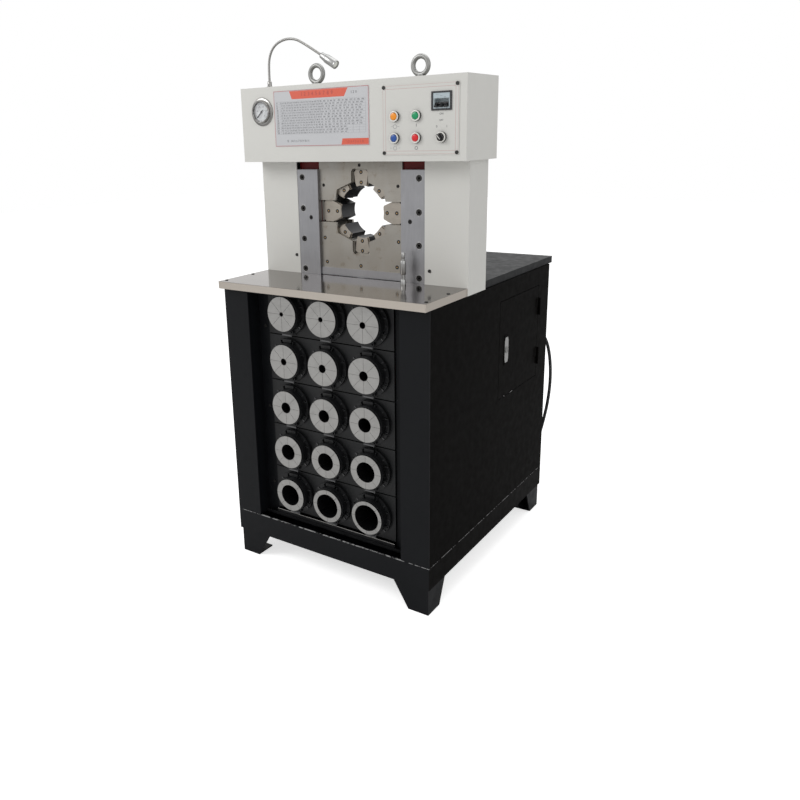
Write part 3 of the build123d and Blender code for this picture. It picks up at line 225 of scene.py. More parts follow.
CREAM = (0.60, 0.595, 0.565)
BLACK = (0.0040, 0.0045, 0.0056)
cream = painted("cream_paint", CREAM, rough=0.38, grain=700.0, bump=0.08, vary=0.03, specular=0.4).material
black = painted("black_powder_coat", BLACK, rough=0.46, grain=1300.0, bump=0.15, specular=0.13,
                vary=0.25).material
# Darker, less glossy copy of the black paint for the sides, the door and its hinges: painted shade, the same
# paint as the front.
painted_shade_black = painted("painted_shade_black", (0.0022, 0.0019, 0.0017), rough=0.55, grain=1300.0, bump=0.05,
                     specular=0.02, vary=0.3).material
dull_black = painted("rack_black", (0.0065, 0.0068, 0.0075), rough=0.38, grain=1100.0, bump=0.2,
                     specular=0.3, vary=0.25).material
maroon = painted("maroon_paint", (0.12, 0.008, 0.008), rough=0.4, specular=0.2, vary=0.15).material
sheet_grey = painted("chart_sheet", (0.5, 0.505, 0.52), rough=0.5, bump=0.03, vary=0.02).material
panel_white = painted("panel_plate", (0.585, 0.58, 0.55), rough=0.34, bump=0.03, vary=0.015).material


def table_steel():
    """Polished stainless sheet, grained along X, with a paler satin rim."""
    m = metal("stainless", (0.21, 0.188, 0.17), rough=0.12, stretch=(0.02, 1, 1), scale=900.0, bump=0.02)
    base = m.shader.inputs["Base Color"].links[0].from_socket
    top = m.span(m.axis("Z"), 0.9568, 0.9576)
    m.set(Base_Color=m.mix(top, (0.50, 0.455, 0.405), base), Roughness=m.span(top, 0, 1, 0.34, 0.12))
    return m.material


stainless = table_steel()
guide_steel = metal("guide_steel", (0.30, 0.30, 0.312), rough=0.36, stretch=(1, 1, 0.03), scale=700.0,
                    vary=0.18).material
chrome = metal("chrome", (0.27, 0.265, 0.255), rough=0.18, scale=50.0, bump=0.01, vary=0.06).material
satin = metal("satin_metal", (0.36, 0.36, 0.355), rough=0.33, scale=900.0, vary=0.08).material
zinc = metal("zinc", (0.27, 0.27, 0.262), rough=0.42, scale=120.0, bump=0.15, vary=0.15).material
cast_grey = metal("cast_grey", (0.2, 0.2, 0.21), rough=0.6, scale=400.0, bump=0.3, metallic=0.4).material
motor_blue = painted("motor_paint", (0.06, 0.12, 0.22), rough=0.4).material
black_plastic = plastic("black_plastic", (0.012, 0.012, 0.013), rough=0.3).material
white_plastic = plastic("white_plastic", (0.72, 0.71, 0.67), rough=0.28).material
screw_black = metal("screw_steel", (0.03, 0.029, 0.028), rough=0.38, scale=300.0, metallic=0.7).material
rubber = plastic("rubber", (0.013, 0.013, 0.014), rough=0.55, vary=0.25, specular=0.35).material
plug_red = plastic("plug_plastic", (0.5, 0.03, 0.025), rough=0.35).material
brown_red = plastic("print_red", (0.62, 0.10, 0.055), rough=0.45, vary=0.03).material
frame_red = plastic("print_dark_red", (0.42, 0.07, 0.06), rough=0.5, vary=0.05).material
pink = plastic("print_pink", (0.5, 0.33, 0.32), rough=0.5, vary=0.05).material
ink = plastic("print_grey", (0.09, 0.09, 0.10), rough=0.5, vary=0.05).material
faint_ink = plastic("print_faint", (0.24, 0.245, 0.26), rough=0.5, vary=0.05).material


def plate_steel():
    """Ground plates of the die blocks: beige grey, cloudy, with a few brown stains and faint scratches."""
    m = metal("block_steel", (0.30, 0.282, 0.252), rough=0.42, stretch=(0.05, 1, 1), scale=500.0, vary=0.1)
    base = m.shader.inputs["Base Color"].links[0].from_socket
    stain = m.span(m.noise(24.0, detail=8.0, rough=0.7), 0.56, 0.72)
    clouded = m.mix(m.span(m.noise(11.0, (1, 1, 0.5)), 0.45, 0.7, 0.0, 0.55), base, (0.33, 0.325, 0.31))
    m.set(Base_Color=m.mix(m.math("MULTIPLY", stain, 0.6), clouded, (0.16, 0.115, 0.075)))
    return m.material


def split_by_depth(name, depth_mm, front_colour, front_rough, back_colour, back_rough):
    """Bright ground face in front of a depth, black oxide behind it."""
    m = Nodes(name)
    depth = FRONT + depth_mm * MM
    behind = m.span(m.axis("Y"), depth - 0.00002, depth + 0.00002)
    grain = m.noise(500.0, (0.1, 1, 1))
    cloud = m.noise(30.0)
    front = m.mix(grain, tone(front_colour, 0.88), tone(front_colour, 1.1))
    front = m.mix(m.span(cloud, 0.45, 0.75, 0, 0.5), front, tone(front_colour, 0.72))
    back = m.mix(m.noise(80.0), tone(back_colour, 0.7), tone(back_colour, 1.4))
    m.set(Base_Color=m.mix(behind, front, back), Metallic=m.span(behind, 0, 1, 1.0, 0.55),
          Roughness=m.span(behind, 0, 1, front_rough, back_rough))
    m.bump(grain, 0.05, 0.0002)
    return m.material


block_steel = plate_steel()
die_steel = split_by_depth("die_steel", DIE_FRONT + DIE_PLATE + 0.05,
                           (0.33, 0.30, 0.262), 0.42, (0.022, 0.022, 0.024), 0.4)
set_steel = split_by_depth("die_set_steel", SET_FRONT + 0.4,
                           (0.34, 0.335, 0.325), 0.4, (0.008, 0.008, 0.009), 0.35)


def worn_black():
    """The base's powder coat, with a broken pale line along the rail's top edge that is partly paint rubbed
    through to bright metal in chips and partly a painted edge highlight; the base's right side is darker and
    less glossy as painted shade.
    """
    m = painted("worn_black", BLACK, rough=0.45, grain=1300.0, bump=0.15, specular=0.13, vary=0.25)
    base = m.shader.inputs["Base Color"].links[0].from_socket
    edge = m.span(m.axis("Z"), 0.1592, 0.1606)
    # The base's right side: darker, less glossy paint as painted shade.
    side = m.span(m.axis("X"), 0.3712, 0.3718)
    base = m.mix(side, base, (0.0022, 0.0019, 0.0017))
    m.set(Specular_IOR_Level=m.span(side, 0, 1, 0.13, 0.02))
    # Pale chips along the top edge: partly real wear to bare metal, partly a painted edge highlight.
    chips = m.span(m.noise(60.0, (1, 1, 0.2), detail=8.0, rough=0.75), 0.46, 0.53)
    chips_and_edge_highlight = m.math("MULTIPLY", edge, chips)
    m.set(Base_Color=m.mix(chips_and_edge_highlight, base, (0.42, 0.42, 0.42)))
    return m.material


def breaker_finish():
    """Black frame round a pale moulded front."""
    m = Nodes("breaker_plastic")
    low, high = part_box("breaker_body")
    middle_x, middle_z = (low[0] + high[0]) / 2, (low[2] + high[2]) / 2
    off_x = m.math("ABSOLUTE", m.math("SUBTRACT", m.axis("X"), middle_x))
    off_z = m.math("ABSOLUTE", m.math("SUBTRACT", m.axis("Z"), middle_z))
    inside = m.math("MULTIPLY", m.math("LESS_THAN", off_x, 0.0252), m.math("LESS_THAN", off_z, 0.0202))
    pale = m.mix(m.noise(120.0), (0.36, 0.42, 0.44), (0.43, 0.49, 0.51))
    m.set(Base_Color=m.mix(inside, (0.014, 0.014, 0.016), pale),
          Roughness=m.span(m.noise(200.0), 0.3, 0.7, 0.3, 0.42))
    return m.material


NODE_FINISH = {
    "table_top": stainless, "rear_top_cover": black, "head_cover": cream, "column_covers": cream,
    "press_frame": maroon, "guide_plates": guide_steel, "upper_die_block": block_steel,
    "lower_die_block": block_steel, "ram": guide_steel, "cylinder_barrel": zinc, "base_frame": worn_black(),
    "rack_panels": dull_black, "die_holders": dull_black, "control_plate": panel_white,
    "chart_plate": sheet_grey, "lifting_eyes": zinc, "socket_screws": screw_black, "lock_cam": zinc,
    "breaker_body": breaker_finish(), "breaker_toggles": black_plastic, "pump_and_valves": cast_grey,
    "motor": motor_blue, "hydraulic_hoses": rubber,
    "electrical_panel": plastic("relay_grey", (0.4, 0.4, 0.38)).material, "oil_tank": black,
}
# The sides, the door and its hinges take the painted-shade copy of the black paint.
for name in ("side_panel_left", "side_panel_right", "access_door", "door_hinges"):
    NODE_FINISH[name] = painted_shade_black
for name in ("rear_panel", "front_frame"):
    NODE_FINISH[name] = black
for direction in ("top", "bottom", "left", "right",
                  "upper_left", "upper_right", "lower_left", "lower_right"):
    NODE_FINISH[f"die_{direction}"] = die_steel
for row in range(5):
    NODE_FINISH[f"die_sets_row_{row + 1}"] = set_steel


def dress(node, material):
    """Give a CAD piece its finish."""
    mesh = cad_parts[node].data
    mesh.materials.clear()
    mesh.materials.append(material)


for name, material in NODE_FINISH.items():
    dress(name, material)


def soften(node, width_mm, segments=3):
    """Rounded edges on a CAD piece, as folded sheet and machined plate have."""
    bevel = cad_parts[node].modifiers.new("edge", "BEVEL")
    bevel.width = width_mm * MM
    bevel.segments = segments
    bevel.limit_method = "ANGLE"
    bevel.angle_limit = radians(40)


for name, width in (("table_top", 0.9), ("head_cover", 0.9), ("column_covers", 0.9),
                    ("rear_top_cover", 0.9), ("guide_plates", 0.6),
                    ("control_plate", 0.4), ("chart_plate", 0.3)):
    soften(name, width)


# ---- mesh helpers
def add_object(name, mesh, material, body="root", smooth=True):
    """Piece of the scene that rides on a body of the frame."""
    piece = bpy.data.objects.new(name, mesh)
    bpy.context.collection.objects.link(piece)
    mesh.materials.clear()
    mesh.materials.append(material)
    for polygon in mesh.polygons:
        polygon.use_smooth = smooth
    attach(piece, body)
    return piece


def basis(axis):
    """The axis as a unit vector, with two directions square to it."""
    axis = Vector(axis).normalized()
    side = axis.cross(Vector((0, 0, 1)) if abs(axis.z) < 0.9 else Vector((1, 0, 0))).normalized()
    return axis, side, axis.cross(side)


def lathe_into(bm, profile, origin, axis, steps=48):
    """Turned surface into bm: profile holds (radius, distance along the axis) in millimetres."""
    axis, side, other = basis(axis)
    rings = []
    for radius, along in profile:
        centre = origin + axis * (along * MM)
        if radius == 0:
            rings.append([bm.verts.new(centre)])
            continue
        ring = []
        for step in range(steps):
            angle = 2 * pi * step / steps
            ring.append(bm.verts.new(centre + (side * cos(angle) + other * sin(angle)) * (radius * MM)))
        rings.append(ring)
    for a, b in zip(rings, rings[1:]):
        for step in range(steps):
            after = (step + 1) % steps
            if len(a) == 1 and len(b) == 1:
                continue
            if len(a) == 1:
                bm.faces.new((a[0], b[after], b[step]))
            elif len(b) == 1:
                bm.faces.new((a[step], a[after], b[0]))
            else:
                bm.faces.new((a[step], a[after], b[after], b[step]))


def finish_mesh(bm, name):
    """Mesh made from bm with its faces turned outwards; bm is used up."""
    bmesh.ops.recalc_face_normals(bm, faces=bm.faces)
    mesh = bpy.data.meshes.new(name)
    bm.to_mesh(mesh)
    bm.free()
    return mesh


def sharp(mesh, angle=35):
    """Smooth shading with creases at real edges."""
    mesh.set_sharp_from_angle(angle=radians(angle))


def turned(name, profile, origin, axis, material, body="root", steps=48):
    """Turned piece of its own."""
    bm = bmesh.new()
    lathe_into(bm, profile, origin, axis, steps)
    piece = add_object(name, finish_mesh(bm, name), material, body)
    sharp(piece.data)
    return piece


def prism_into(bm, outline, y0, y1):
    """Outline of (X, Z) in metres made solid between two Y."""
    back = [bm.verts.new((x, y1, z)) for x, z in outline]
    front = [bm.verts.new((x, y0, z)) for x, z in outline]
    bm.faces.new(front)
    bm.faces.new(back[::-1])
    for i in range(len(outline)):
        j = (i + 1) % len(outline)
        bm.faces.new((front[i], back[i], back[j], front[j]))


def bar(x0, x1, z0, z1):
    """Outline of an upright rectangle."""
    return [(x0, z0), (x1, z0), (x1, z1), (x0, z1)]


PRINT_THICK = 0.00012


def printed(name, outlines, surface_y, material):
    """Flat print or label lying on a face that looks towards -Y."""
    bm = bmesh.new()
    for outline in outlines:
        prism_into(bm, outline, surface_y - PRINT_THICK, surface_y)
    return add_object(name, finish_mesh(bm, name), material, smooth=False)


# ---- mains cable
GLAND_X, GLAND_Z, GLAND_END = 326.0, 668.0, 920.0
CABLE_R = 6.0
COIL_X, COIL_Y, COIL_OUT = 120.0, 1075.0, 84.0
COIL_TURNS = [(76.0, 6.0), (64.0, 6.2), (52.5, 6.0), (58.0, 17.5), (70.0, 17.8)]    # radius, height
TURN_POINTS = 16
STEP_OVER = 0.75         # share of each turn that is round; the rest of it leads to the next turn
PLUG_R, PLUG_TAIL_X, PLUG_DEPTH = 28.0, 60.6, COIL_Y + 72.0


def nurbs(name, points, radius_m):
    """Smooth open curve near points of X, depth and height in millimetres."""
    curve = bpy.data.curves.new(name, "CURVE")
    curve.dimensions = "3D"
    spline = curve.splines.new("NURBS")
    spline.points.add(len(points) - 1)
    for point, place in zip(spline.points, points):
        point.co = (*at(*place), 1)
    spline.order_u = 3
    spline.use_endpoint_u = True
    curve.bevel_depth = radius_m
    curve.bevel_resolution = 5
    curve.resolution_u = 8
    curve.use_fill_caps = True
    return curve


def line_of(curve):
    """Points along a curve's own line, with no bevel."""
    bare = curve.copy()
    bare.bevel_depth = 0
    holder = bpy.data.objects.new("line", bare)
    mesh = bpy.data.meshes.new_from_object(holder)
    points = [v.co.copy() for v in mesh.vertices]
    bpy.data.objects.remove(holder)
    bpy.data.meshes.remove(mesh)
    return points


def coil_route():
    """Points of the coil's turns: a flat lower layer going inwards, and a second one on top of it."""
    points = []
    for step in range(2, TURN_POINTS * len(COIL_TURNS)):
        turn = step / TURN_POINTS
        index = min(int(turn), len(COIL_TURNS) - 1)
        after = min(index + 1, len(COIL_TURNS) - 1)
        blend = max(0.0, (turn - index - STEP_OVER) * 4)
        radius = COIL_TURNS[index][0] + (COIL_TURNS[after][0] - COIL_TURNS[index][0]) * blend
        height = COIL_TURNS[index][1] + (COIL_TURNS[after][1] - COIL_TURNS[index][1]) * blend
        angle = radians(90) + 2 * pi * turn
        points.append((COIL_X + radius * cos(angle), COIL_Y + radius * sin(angle), height))
    return points


def mains_cable():
    """Mains lead from its gland down to a coil on the floor behind the machine, with its plug."""
    route = [(GLAND_X, GLAND_END, GLAND_Z), (GLAND_X, GLAND_END + 32, GLAND_Z),
             (GLAND_X + 8, GLAND_END + 62, GLAND_Z - 22), (GLAND_X + 21, GLAND_END + 72, GLAND_Z - 64),
             (361.0, 984.0, 545.0), (367.0, 976.0, 470.0), (363.0, 968.0, 390.0), (350.0, 962.0, 308.0),
             (331.0, 962.0, 228.0), (308.0, 974.0, 150.0), (286.0, 1004.0, 82.0), (258.0, 1050.0, 34.0),
             (226.0, 1110.0, 11.0), (188.0, 1160.0, 6.6),
             (COIL_X, COIL_Y + COIL_OUT + CABLE_R + 0.8, CABLE_R)]
    route += coil_route()
    route += [(COIL_X - 6, PLUG_DEPTH - 1, 18.5), (COIL_X - 30, PLUG_DEPTH, 23.0),
              (PLUG_TAIL_X + 12, PLUG_DEPTH, 27.5), (PLUG_TAIL_X, PLUG_DEPTH, PLUG_R)]
    cable_curve = nurbs("mains_cable", route, CABLE_R * MM)
    cable_line = line_of(cable_curve)
    cable = bpy.data.objects.new("mains_cable", cable_curve)
    bpy.context.collection.objects.link(cable)
    cable_curve.materials.append(rubber)
    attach(cable, "root")
    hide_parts("power_cable", "cable_coil")
    dress("cable_plug", plug_red)
    gland_profile = [(0, -12), (15, -12), (15, -2), (11, -2), (11, 0), (15, 0), (15, 8), (13, 9),
                     (12, 16), (11, 17), (9.5, 24), (0, 24)]
    gland = turned("gland", gland_profile, at(GLAND_X, 896, GLAND_Z), (0, 1, 0), black_plastic, steps=24)
    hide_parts("cable_gland")


mains_cable()


# ---- push buttons and selector
BUTTON_X, BUTTON_Z = (173.5, 242.0), (1436.0, 1378.0)
SELECTOR_X = 320.0
BUTTON_COLOURS = {"orange": (0.80, 0.27, 0.012), "green": (0.0, 0.27, 0.10), "blue": (0.012, 0.07, 0.30),
                  "red": (0.62, 0.008, 0.012)}
selector_at = at(SELECTOR_X, PLATE_FRONT, BUTTON_Z[1])
GRIP_TURN = radians(40)


def grip_box(half_wide, half_long, low, high):
    """Bar across the selector's face, turned to its rest position."""
    bm = bmesh.new()
    corners = bmesh.ops.create_cube(bm, size=1)["verts"]
    for v in corners:
        x, y, z = v.co.x * 2 * half_wide, v.co.y, v.co.z * 2 * half_long
        depth = low if y > 0 else high
        turned_x = x * cos(GRIP_TURN) - z * sin(GRIP_TURN)
        turned_z = x * sin(GRIP_TURN) + z * cos(GRIP_TURN)
        v.co = selector_at + Vector((turned_x * MM, -depth * MM, turned_z * MM))
    return bm


def buttons_and_selector():
    """Four push buttons and a two-place selector, each in a pale ring."""
    side_profile = [(11, -8), (14.6, 0), (14.75, 0.6), (14.75, 5.5), (14.2, 6.2), (12, 6.2)]
    ring_profile = [(14.3, 5.6), (14.3, 7.2), (13.6, 8.6), (12.4, 9.0), (11.2, 8.6), (10.1, 7.0),
                    (9.9, 2.0), (9.9, -8)]
    cap_profile = [(0, 10.1), (4, 10.0), (7.4, 9.7), (8.8, 9.2), (9.45, 8.2), (9.5, 6.0), (9.5, -4), (0, -4)]
    places = [(x, z) for z in BUTTON_Z for x in BUTTON_X]
    bm_rings, bm_sides = bmesh.new(), bmesh.new()
    for x, z in places + [(SELECTOR_X, BUTTON_Z[1])]:
        origin = at(x, PLATE_FRONT, z)
        lathe_into(bm_sides, side_profile, origin, OUT)
        lathe_into(bm_rings, ring_profile, origin, OUT)
    rings = add_object("button_rings", finish_mesh(bm_rings, "button_rings"), white_plastic)
    sides = add_object("button_sides", finish_mesh(bm_sides, "button_sides"), screw_black)
    for piece in (rings, sides):
        sharp(piece.data)
    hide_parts("button_bezels")
    for (x, z), (colour, shade) in zip(places, BUTTON_COLOURS.items()):
        cap = turned(f"cap_{colour}", cap_profile, at(x, PLATE_FRONT, z), OUT,
                     plastic(f"button_{colour}", shade, rough=0.25).material, body=f"button_{colour}")
        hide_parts(f"button_{colour}")
    bm = bmesh.new()
    lathe_into(bm, [(0, 12), (8.6, 12), (9.3, 11.3), (9.4, 6), (9.4, -6), (0, -6)], selector_at, OUT)
    knob = add_object("selector_dial", finish_mesh(bm, "selector_dial"), black_plastic, "selector")
    sharp(knob.data)
    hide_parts("selector_knob")
    grip = grip_box(3.1, 8.9, 10.0, 20.4)
    bmesh.ops.bevel(grip, geom=list(grip.edges), offset=0.9 * MM, segments=3, affect="EDGES")
    add_object("selector_grip", finish_mesh(grip, "selector_grip"), black_plastic, "selector")
    mark = grip_box(0.9, 7.0, 20.2, 20.7)
    add_object("selector_mark", finish_mesh(mark, "selector_mark"), white_plastic, "selector", smooth=False)


buttons_and_selector()


# ---- lettering made of plain digits
glyphs = {}


def glyph(character):
    """Flat outline mesh of one character, height about 0.7 of a unit."""
    if character not in glyphs:
        curve = bpy.data.curves.new("glyph", "FONT")
        curve.body = character
        curve.fill_mode = "FRONT"
        curve.resolution_u = 2
        holder = bpy.data.objects.new("glyph", curve)
        mesh = bpy.data.meshes.new_from_object(holder)
        width = max((v.co.x for v in mesh.vertices), default=0.5)
        glyphs[character] = (mesh, width)
        bpy.data.objects.remove(holder)
    return glyphs[character]


def write_into(bm, text, x, z, size, y, centre=False):
    """Digits and capitals on a face that looks towards -Y; x, z, size in metres."""
    advance = [glyph(c)[1] * size + size * 0.1 if c != " " else size * 0.35 for c in text]
    x -= sum(advance) / 2 if centre else 0
    for character, width in zip(text, advance):
        if character != " ":
            mesh, _ = glyph(character)
            verts = [bm.verts.new((x + v.co.x * size, y, z + v.co.y * size)) for v in mesh.vertices]
            for polygon in mesh.polygons:
                bm.faces.new([verts[i] for i in polygon.vertices])
        x += width


# ---- chart on the head
EDGE = 0.0022
ROWS, COLUMNS = 13, 30
RULE_WIDE, RULE_COLUMNS = 0.0003, (0, 1.4, 18, 20, 22, 24, 26, 28, 30)


def chart():
    """Table of plain numbers on the head: border, tabs, rules, rows of numbers and headings."""
    chart_low, chart_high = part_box("chart_plate")
    cx0, cx1, cz0, cz1 = chart_low[0], chart_high[0], chart_low[2], chart_high[2]
    chart_y = chart_low[1]
    letters_y, heading_y = chart_y - PRINT_LIFT, chart_y - 0.0004
    printed("chart_border", [bar(cx0 + 0.001, cx1 - 0.001, cz0 + 0.001, cz0 + EDGE),
                             bar(cx0 + 0.001, cx1 - 0.001, cz1 - EDGE, cz1 - 0.001),
                             bar(cx0 + 0.001, cx0 + EDGE, cz0 + EDGE, cz1 - EDGE),
                             bar(cx1 - EDGE, cx1 - 0.001, cz0 + EDGE, cz1 - EDGE)],
            chart_y, frame_red)
    tab_top = cz1 - 0.003
    printed("chart_tabs", [[(cx0 + 0.062, tab_top), (cx0 + 0.071, tab_top - 0.023),
                            (cx0 + 0.263, tab_top - 0.023), (cx0 + 0.276, tab_top)],
                           [(cx0 + 0.250, cz0 + 0.003), (cx0 + 0.254, cz0 + 0.020),
                            (cx1 - 0.003, cz0 + 0.020), (cx1 - 0.003, cz0 + 0.003)]],
            chart_y, brown_red)
    grid_x0, grid_x1, grid_z0, grid_z1 = cx0 + 0.010, cx1 - 0.012, cz0 + 0.036, cz1 - 0.032
    row_step, column_step = (grid_z1 - grid_z0) / ROWS, (grid_x1 - grid_x0) / COLUMNS
    rules = [bar(grid_x0, grid_x1, grid_z0 + row_step * r, grid_z0 + row_step * r + RULE_WIDE)
             for r in range(ROWS + 1)]
    rules += [bar(grid_x0 + column_step * c, grid_x0 + column_step * c + RULE_WIDE, grid_z0, grid_z1)
              for c in RULE_COLUMNS]
    printed("chart_rules", rules, chart_y, faint_ink)
    bm = bmesh.new()
    for row in range(ROWS):
        base_z = grid_z1 - row_step * (row + 0.78)
        write_into(bm, str(4 + row * 2), grid_x0 + 0.001, base_z, row_step * 0.95, letters_y)
        reach = grid_x1 if row < 10 else grid_x1 - 0.050
        x, column = grid_x0 + 0.016 + 0.0011 * (row * 7 % 5), 0
        while x < reach - 0.012:
            number = str(10 + (row * 37 + column * 53) % (890 if (row + column) % 3 else 80))
            write_into(bm, number, x, base_z, row_step * 0.74, letters_y)
            x += row_step * (0.46 * len(number) + 0.18) * (1.0 if column < 15 else 1.35)
            column += 1
    write_into(bm, "12 . 34 5 6 7 8 9 10 11", cx0 + 0.046, cz0 + 0.013, 0.0085, letters_y)
    write_into(bm, "1 2 0", cx1 - 0.062, tab_top - 0.016, 0.010, letters_y)
    add_object("chart_numbers", finish_mesh(bm, "chart_numbers"), ink, smooth=False)
    bm = bmesh.new()
    write_into(bm, "1 2 3 4 5 6 7 8 9", cx0 + 0.165, tab_top - 0.0155, 0.0155, heading_y, centre=True)
    write_into(bm, "1 2 3 4 5 6 7 8", cx0 + 0.298, cz0 + 0.008, 0.009, heading_y, centre=True)
    add_object("chart_heading", finish_mesh(bm, "chart_heading"), frame_red, smooth=False)


chart()


# ---- print on the control plate
panel_low, panel_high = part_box("control_plate")
px0, px1, pz0, pz1 = panel_low[0], panel_high[0], panel_low[2], panel_high[2]
panel_y = panel_low[1]
BREAKER_PALE_Y = panel_y - 0.0022


def border(inset, wide):
    """Four bars of a line round the control plate."""
    a, b, c, d = px0 + inset, px1 - inset, pz0 + inset, pz1 - inset
    return [bar(a, b, c, c + wide), bar(a, b, d - wide, d), bar(a, a + wide, c + wide, d - wide),
            bar(b - wide, b, c + wide, d - wide)]


def ring_outline_into(bm, x, z, radius, wide, y, steps=28):
    """Flat printed ring."""
    inner = radius - wide
    for step in range(steps):
        a, b = 2 * pi * step / steps, 2 * pi * (step + 1) / steps
        quad = [(r * cos(t), r * sin(t)) for r, t in ((radius, a), (radius, b), (inner, b), (inner, a))]
        bm.faces.new([bm.verts.new((x + u, y, z + v)) for u, v in quad])


def control_plate_print():
    """Lines, plain letters and symbols by the buttons."""
    printed("panel_lines", border(0.0025, 0.0007) + border(0.0105, 0.0009), panel_y, pink)
    bm = bmesh.new()
    for text, x, z, size in (("I", 242.0, 1407.0, 0.012), ("O", 242.0, 1346.0, 0.014),
                             ("ON", 319.0, 1436.0, 0.0075), ("OFF", 319.0, 1420.0, 0.0065),
                             ("0", 305.0, 1403.0, 0.009), ("1", 335.0, 1403.0, 0.009)):
        write_into(bm, text, x * MM, z * MM, size, panel_y - PRINT_LIFT, centre=True)
    add_object("panel_letters", finish_mesh(bm, "panel_letters"), ink, smooth=False)
    middle_x = BUTTON_X[0] * MM
    bm = bmesh.new()
    for z, inward in ((1409.0, True), (1351.0, False)):
        ring_outline_into(bm, middle_x, z * MM, 0.0058, 0.0009, panel_y - PRINT_LIFT)
        for sign in (-1, 1):
            x = middle_x + sign * 0.012
            tip = middle_x + sign * (0.0075 if inward else 0.0165)
            prism_into(bm, [(x - 0.0035, z * MM), (x + 0.0035, z * MM), (tip, z * MM + 0.0012)],
                       panel_y - 0.0004, panel_y - 0.0002)
    add_object("panel_symbols", finish_mesh(bm, "panel_symbols"), faint_ink, smooth=False)


control_plate_print()


# ---- breaker front
def breaker_front_plate():
    """Pale strips above and below the breaker's levers, and its plain marks."""
    low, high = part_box("breaker_body")
    middle = ((low[0] + high[0]) / 2, (low[2] + high[2]) / 2)
    pale_blue = plastic("breaker_pale", (0.40, 0.47, 0.50), rough=0.35, vary=0.06).material
    breaker_front = bmesh.new()
    for x0, x1, z0, z1 in ((-0.0245, 0.0245, -0.0195, -0.0160), (-0.0245, 0.0245, 0.0072, 0.0195)):
        prism_into(breaker_front, bar(middle[0] + x0, middle[0] + x1, middle[1] + z0, middle[1] + z1),
                   BREAKER_PALE_Y, BREAKER_PALE_Y + 0.0008)
    add_object("breaker_front", finish_mesh(breaker_front, "breaker_front"), pale_blue, smooth=False)
    breaker_marks = bmesh.new()
    for k in range(4):
        write_into(breaker_marks, "12 0", middle[0] - 0.012 + 0.011 * (k % 3),
                   middle[1] + 0.015 - 0.0035 * k, 0.003, BREAKER_PALE_Y - PRINT_LIFT, centre=True)
    add_object("breaker_marks", finish_mesh(breaker_marks, "breaker_marks"), ink, smooth=False)


breaker_front_plate()


# ---- pressure gauge
GAUGE_X, GAUGE_Z = -308.0, 1466.0
TICKS, TICKS_PER_LABEL = 50, 10
SCALE_R, LABEL_R = 26, 16.5


def clear_glass():
    """Clear window, slightly uneven."""
    m = Nodes("gauge_glass")
    m.set(Base_Color=(1.0, 1.0, 1.0), Roughness=m.span(m.noise(30.0), 0, 1, 0.02, 0.06),
          Transmission_Weight=1.0)
    m.shader.inputs["IOR"].default_value = 1.2
    return m.material


def pressure_gauge():
    """Case, dial, scale and window of the pressure gauge; its needle is a CAD piece."""
    gauge_at = at(GAUGE_X, HEAD_FRONT, GAUGE_Z)
    case_profile = [(0, -44), (9, -44), (9, -24), (31, -23), (31, 0), (42.2, 0), (42.2, 2.0), (41.2, 2.9),
                    (36.5, 3.2), (34.5, 4.5), (33.6, 9.0), (32.6, 11.0), (31.2, 11.9), (29.9, 11.2),
                    (29.4, 9.5), (29.4, 4.0), (0, 4.0)]
    case = turned("gauge_shell", case_profile, gauge_at, OUT, chrome, steps=72)
    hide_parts("gauge_case")
    turned("gauge_dial", [(0, 4.0), (29.2, 4.0), (29.2, 4.6), (0, 4.6)], gauge_at, OUT,
           plastic("dial_white", (0.62, 0.63, 0.64), rough=0.5).material, steps=72)
    bm = bmesh.new()
    dial_y = gauge_at.y - 4.8 * MM
    for tick in range(TICKS + 1):
        angle = radians(225 - 270 * tick / TICKS)
        major = tick % TICKS_PER_LABEL == 0
        length, wide = (5.5, 0.9) if major else (3.0, 0.4)
        outward, across = Vector((cos(angle), sin(angle))), Vector((-sin(angle), cos(angle)))
        ends = ((SCALE_R, 1), (SCALE_R, -1), (SCALE_R - length, -1), (SCALE_R - length, 1))
        corners = [outward * r + across * s * wide / 2 for r, s in ends]
        bm.faces.new([bm.verts.new((gauge_at.x + c.x * MM, dial_y, gauge_at.z + c.y * MM))
                      for c in corners])
        if major:
            label = outward * LABEL_R
            write_into(bm, str(tick), gauge_at.x + label.x * MM, gauge_at.z + (label.y - 1.8) * MM, 0.0058,
                       dial_y, centre=True)
    add_object("gauge_scale", finish_mesh(bm, "gauge_scale"), ink, smooth=False)
    dress("gauge_needle", black_plastic)
    turned("gauge_window", [(0, 10.4), (29.2, 10.4), (29.2, 9.8), (0, 9.8)], gauge_at, OUT, clear_glass(),
           steps=72)


pressure_gauge()


# ---- lamp
LAMP_X, LAMP_Y = -306.0, 220.0


def point_along(points, distance):
    """Point and direction this far along a line of points."""
    for a, b in zip(points, points[1:]):
        step = (b - a).length
        if distance <= step or b is points[-1]:
            return a + (b - a) * min(1.0, distance / step), (b - a).normalized()
        distance -= step


def ribbed_tube_into(bm, points, length, radius, rib, pitch, steps=16):
    """Flexible metal conduit: a tube whose radius waves along it."""
    count = int(length / (pitch * MM) * 4)
    rings = []
    for i in range(count + 1):
        place, way = point_along(points, length * i / count)
        side = Vector((0, 1, 0))
        other = way.cross(side)
        r = (radius - rib * (0.5 - 0.5 * cos(2 * pi * i / 4))) * MM
        rings.append([bm.verts.new(place + (side * cos(a) + other * sin(a)) * r)
                      for a in (2 * pi * k / steps for k in range(steps))])
    for a, b in zip(rings, rings[1:]):
        for k in range(steps):
            bm.faces.new((a[k], a[(k + 1) % steps], b[(k + 1) % steps], b[k]))
    bm.faces.new(rings[0])
    bm.faces.new(rings[-1][::-1])


